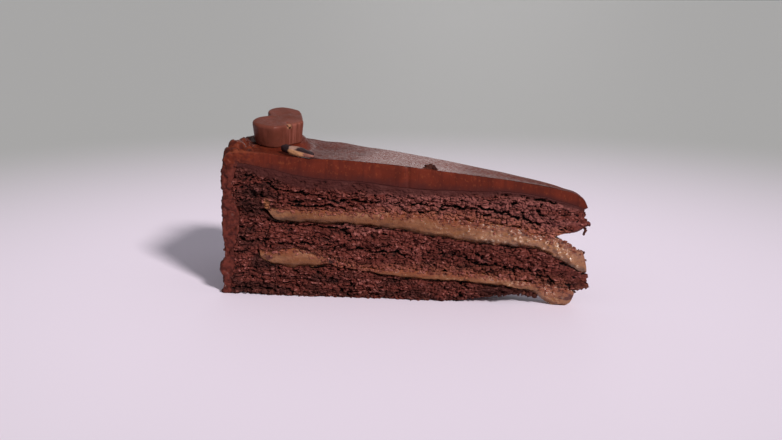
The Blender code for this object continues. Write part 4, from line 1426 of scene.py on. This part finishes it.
def scatter(spots, sizes, draw):
    """A craggy pebble at every spot: its points are moved in or out by chance, and it is turned too."""
    ball, faces = pebble()
    count = len(spots)
    bulge = 1 + PEBBLE_CRAGGINESS * draw.uniform(-1, 1, (count, len(ball), 1))
    x, y, z = np.moveaxis(ball[None] * bulge * sizes[:, None, :], -1, 0)
    tilt = draw.uniform(-0.5, 0.5, count)
    spin = draw.uniform(-0.6, 0.6, count)
    x, y = rotated(x, y, spin)
    x, z = rotated(x, z, tilt)
    points = (np.stack([x, y, z], axis=-1) + spots[:, None, :]).reshape(-1, 3)
    step = (np.arange(count) * len(ball))[:, None, None]
    everything = []
    for corners in (4, 3):
        kind = np.array([face for face in faces if len(face) == corners])
        everything += (kind + step).reshape(-1, corners).tolist()
    return points, everything


def crumb_values(draw, count, lift, stained, shade):
    """Values of the sponge's finish for loose crumbs. Lift and stain are given as a least and a range."""
    none = np.zeros(count)
    return {
        "lift": lift[0] + lift[1] * draw.uniform(size=count),
        "soaked": none,
        "stained": stained[0] + stained[1] * draw.uniform(size=count),
        "shade": none + shade,
        "smear": none,
    }


def sponge_flakes(layer, draw):
    """Flakes stand on a sponge's two cuts, sunk in by about half, fewer where the sponge is soaked."""
    count = FLAKES_A_LAYER
    along = draw.uniform(0.0, 1.0, count)**0.9
    through = draw.uniform(0.03, 0.97, count)
    across = np.where(draw.uniform(size=count) < 0.5, -1.0, 1.0)
    points, values = sponge_points(layer, along, across, through)
    kept = draw.uniform(size=count) > FEWER_WHERE_SOAKED * values["soaked"]
    size = draw.uniform(*FLAKE_SIZE, count)
    long = size * draw.uniform(*FLAKE_LENGTH, count)
    up = size * draw.uniform(*FLAKE_HEIGHT, count)
    values["lift"] = 0.35 + 0.5 * draw.uniform(size=count)
    spots = points + outward(across) * FLAKE_STANDS_OUT
    sizes = np.stack([long, size * 0.9, up], axis=-1)
    return spots[kept], sizes[kept], {label: value[kept] for label, value in values.items()}


def placed_crumbs(draw):
    """The lone crumbs and those that hang under the arch near the tip, each with a smaller one beside it."""
    radius = draw.uniform(*ARCH_REACH, ARCH_CRUMBS)
    under = height_along(LOWER_CARAMEL_UNDERSIDE, radius) - draw.uniform(*ARCH_DROP, ARCH_CRUMBS)
    across = draw.uniform(-0.95, 0.95, ARCH_CRUMBS)
    arch = np.stack([radius, across, under, draw.uniform(*ARCH_CRUMB_SIZE, ARCH_CRUMBS)], axis=1)
    radius, across, height, size = np.concatenate([LONE_CRUMBS, arch]).T
    places = place(radius, across, height)
    size = size[:, None]
    spots = np.concatenate([places, places + size * draw.uniform(-0.7, 0.7, places.shape)])
    larger = size * draw.uniform(0.7, 1.1, places.shape)
    sizes = np.concatenate([larger, size * draw.uniform(0.35, 0.7, places.shape)])
    # The lone and arch crumbs are dark; under the arch that darkness is painted shade.
    return spots, sizes, crumb_values(draw, len(spots), (0.24, 0.4), (0.0, 0.3), 0.85)


def caramel_crumbs(draw):
    """Crumbs stuck to the caramel: most along its upper edge, and close together where they hide it."""
    spots = []
    for node, layer in CARAMELS.items():
        along = draw.uniform(0.01, 0.99, CARAMEL_CRUMBS)
        through = 1.02 - np.abs(draw.normal(0.0, CARAMEL_CRUMB_SPREAD, CARAMEL_CRUMBS))
        if node == "caramel_lower":
            along = np.concatenate([along, draw.uniform(*COVERED, COVER_CRUMBS)])
            through = np.concatenate([through, draw.uniform(0.0, 1.0, COVER_CRUMBS)])
        across = np.where(draw.uniform(size=len(along)) < 0.5, -1.0, 1.0)
        points, values = caramel_points(layer, along, across, through)
        spots.append(points + outward(across) * (0.1 + 0.9 * values["crumby"][:, None]))
    spots = np.concatenate(spots)
    size = draw.uniform(*CARAMEL_CRUMB_SIZE, (len(spots), 1))
    sizes = size * draw.uniform((1.0, 0.7, 0.6), (2.0, 1.0, 0.9), (len(spots), 3))
    return spots, sizes, crumb_values(draw, len(spots), (0.45, 0.5), (0.3, 0.7), 0.2)


def build_crumbs():
    """All loose crumbs and flakes as one piece in the sponge's finish, each clear of the ground."""
    draw = np.random.default_rng(CRUMB_SEED)
    groups = [sponge_flakes(layer, draw) for layer in SPONGES.values()]
    groups += [placed_crumbs(draw), caramel_crumbs(draw)]
    spots, sizes = [np.concatenate([group[part] for group in groups]) for part in (0, 1)]
    spots[:, 2] = np.maximum(spots[:, 2], sizes.max(axis=1) * (1 + PEBBLE_CRAGGINESS + 0.02))
    points, faces = scatter(spots, sizes, draw)
    each = len(points) // len(spots)
    values = {}
    for label in groups[0][2]:
        values[label] = np.repeat(np.concatenate([group[2][label] for group in groups]), each)
    add_piece("crumb_flakes", points, faces, SPONGE, values, smooth=False)


build_crumbs()


# Floor, lights and camera. The key light stands at the front right. A low broad light behind gives the top
# its sheen. Each light has the side that it comes from, its strength, its softness in degrees and its colour.

SUN_LIGHTS = {
    "key": ((1.0, -0.75, 0.85), 3.5, 9.0, (1.0, 0.97, 0.94)),
    "sheen": ((-0.225, 0.975, 0.235), 0.085, 17.0, (1.0, 0.97, 0.98)),
}
SKY_COLOUR = (0.96, 0.97, 1.0, 1.0)
SKY_STRENGTH = 0.3
FLOOR_REACH = 12.0

# Camera: its place from the middle of the slice's underside, its turn and dip in degrees, and its lens
CAMERA_PLACE = (95.56, -310.72, 100.4)
CAMERA_TURN = 18.09
CAMERA_DIP = 13.12
CAMERA_LENS = 45.115


def build_floor():
    """A wide pale floor that darkens to grey away from the slice."""
    finish = Finish("pale_floor", 0.6, specular=0.2)
    away = finish.node("ShaderNodeVectorMath", {0: finish.spot}, "Value", operation="LENGTH")
    finish.ground(finish.between(away, 0.08, 0.42), (0.87, 0.77, 0.90), (0.43, 0.43, 0.43))
    mesh = bpy.data.meshes.new("floor")
    corners = [(x * FLOOR_REACH, y * FLOOR_REACH, 0.0) for x, y in ((-1, -1), (1, -1), (1, 1), (-1, 1))]
    mesh.from_pydata(corners, [], [(0, 1, 2, 3)])
    mesh.materials.append(finish.painted())
    floor = bpy.data.objects.new("floor", mesh)
    bpy.context.scene.collection.objects.link(floor)


def build_lights():
    for name, (come_from, strength, softness, colour) in SUN_LIGHTS.items():
        light = bpy.data.lights.new(name, "SUN")
        light.energy = strength
        light.angle = math.radians(softness)
        light.color = colour
        holder = bpy.data.objects.new(name, light)
        holder.rotation_euler = Vector(come_from).to_track_quat("Z", "Y").to_euler()
        bpy.context.scene.collection.objects.link(holder)
    world = bpy.data.worlds.new("studio")
    world.use_nodes = True
    sky = world.node_tree.nodes["Background"]
    sky.inputs["Color"].default_value = SKY_COLOUR
    sky.inputs["Strength"].default_value = SKY_STRENGTH
    bpy.context.scene.world = world


def build_camera():
    data = bpy.data.cameras.new("camera")
    data.lens = CAMERA_LENS
    data.sensor_width = 36.0
    data.clip_start = 0.01
    camera = bpy.data.objects.new("camera", data)
    camera.location = Vector(CAMERA_PLACE) * MM
    camera.rotation_euler = (math.radians(90.0 - CAMERA_DIP), 0.0, math.radians(CAMERA_TURN))
    bpy.context.scene.collection.objects.link(camera)
    bpy.context.scene.camera = camera


build_floor()
build_lights()
build_camera()
bpy.context.scene.view_settings.view_transform = "Standard"
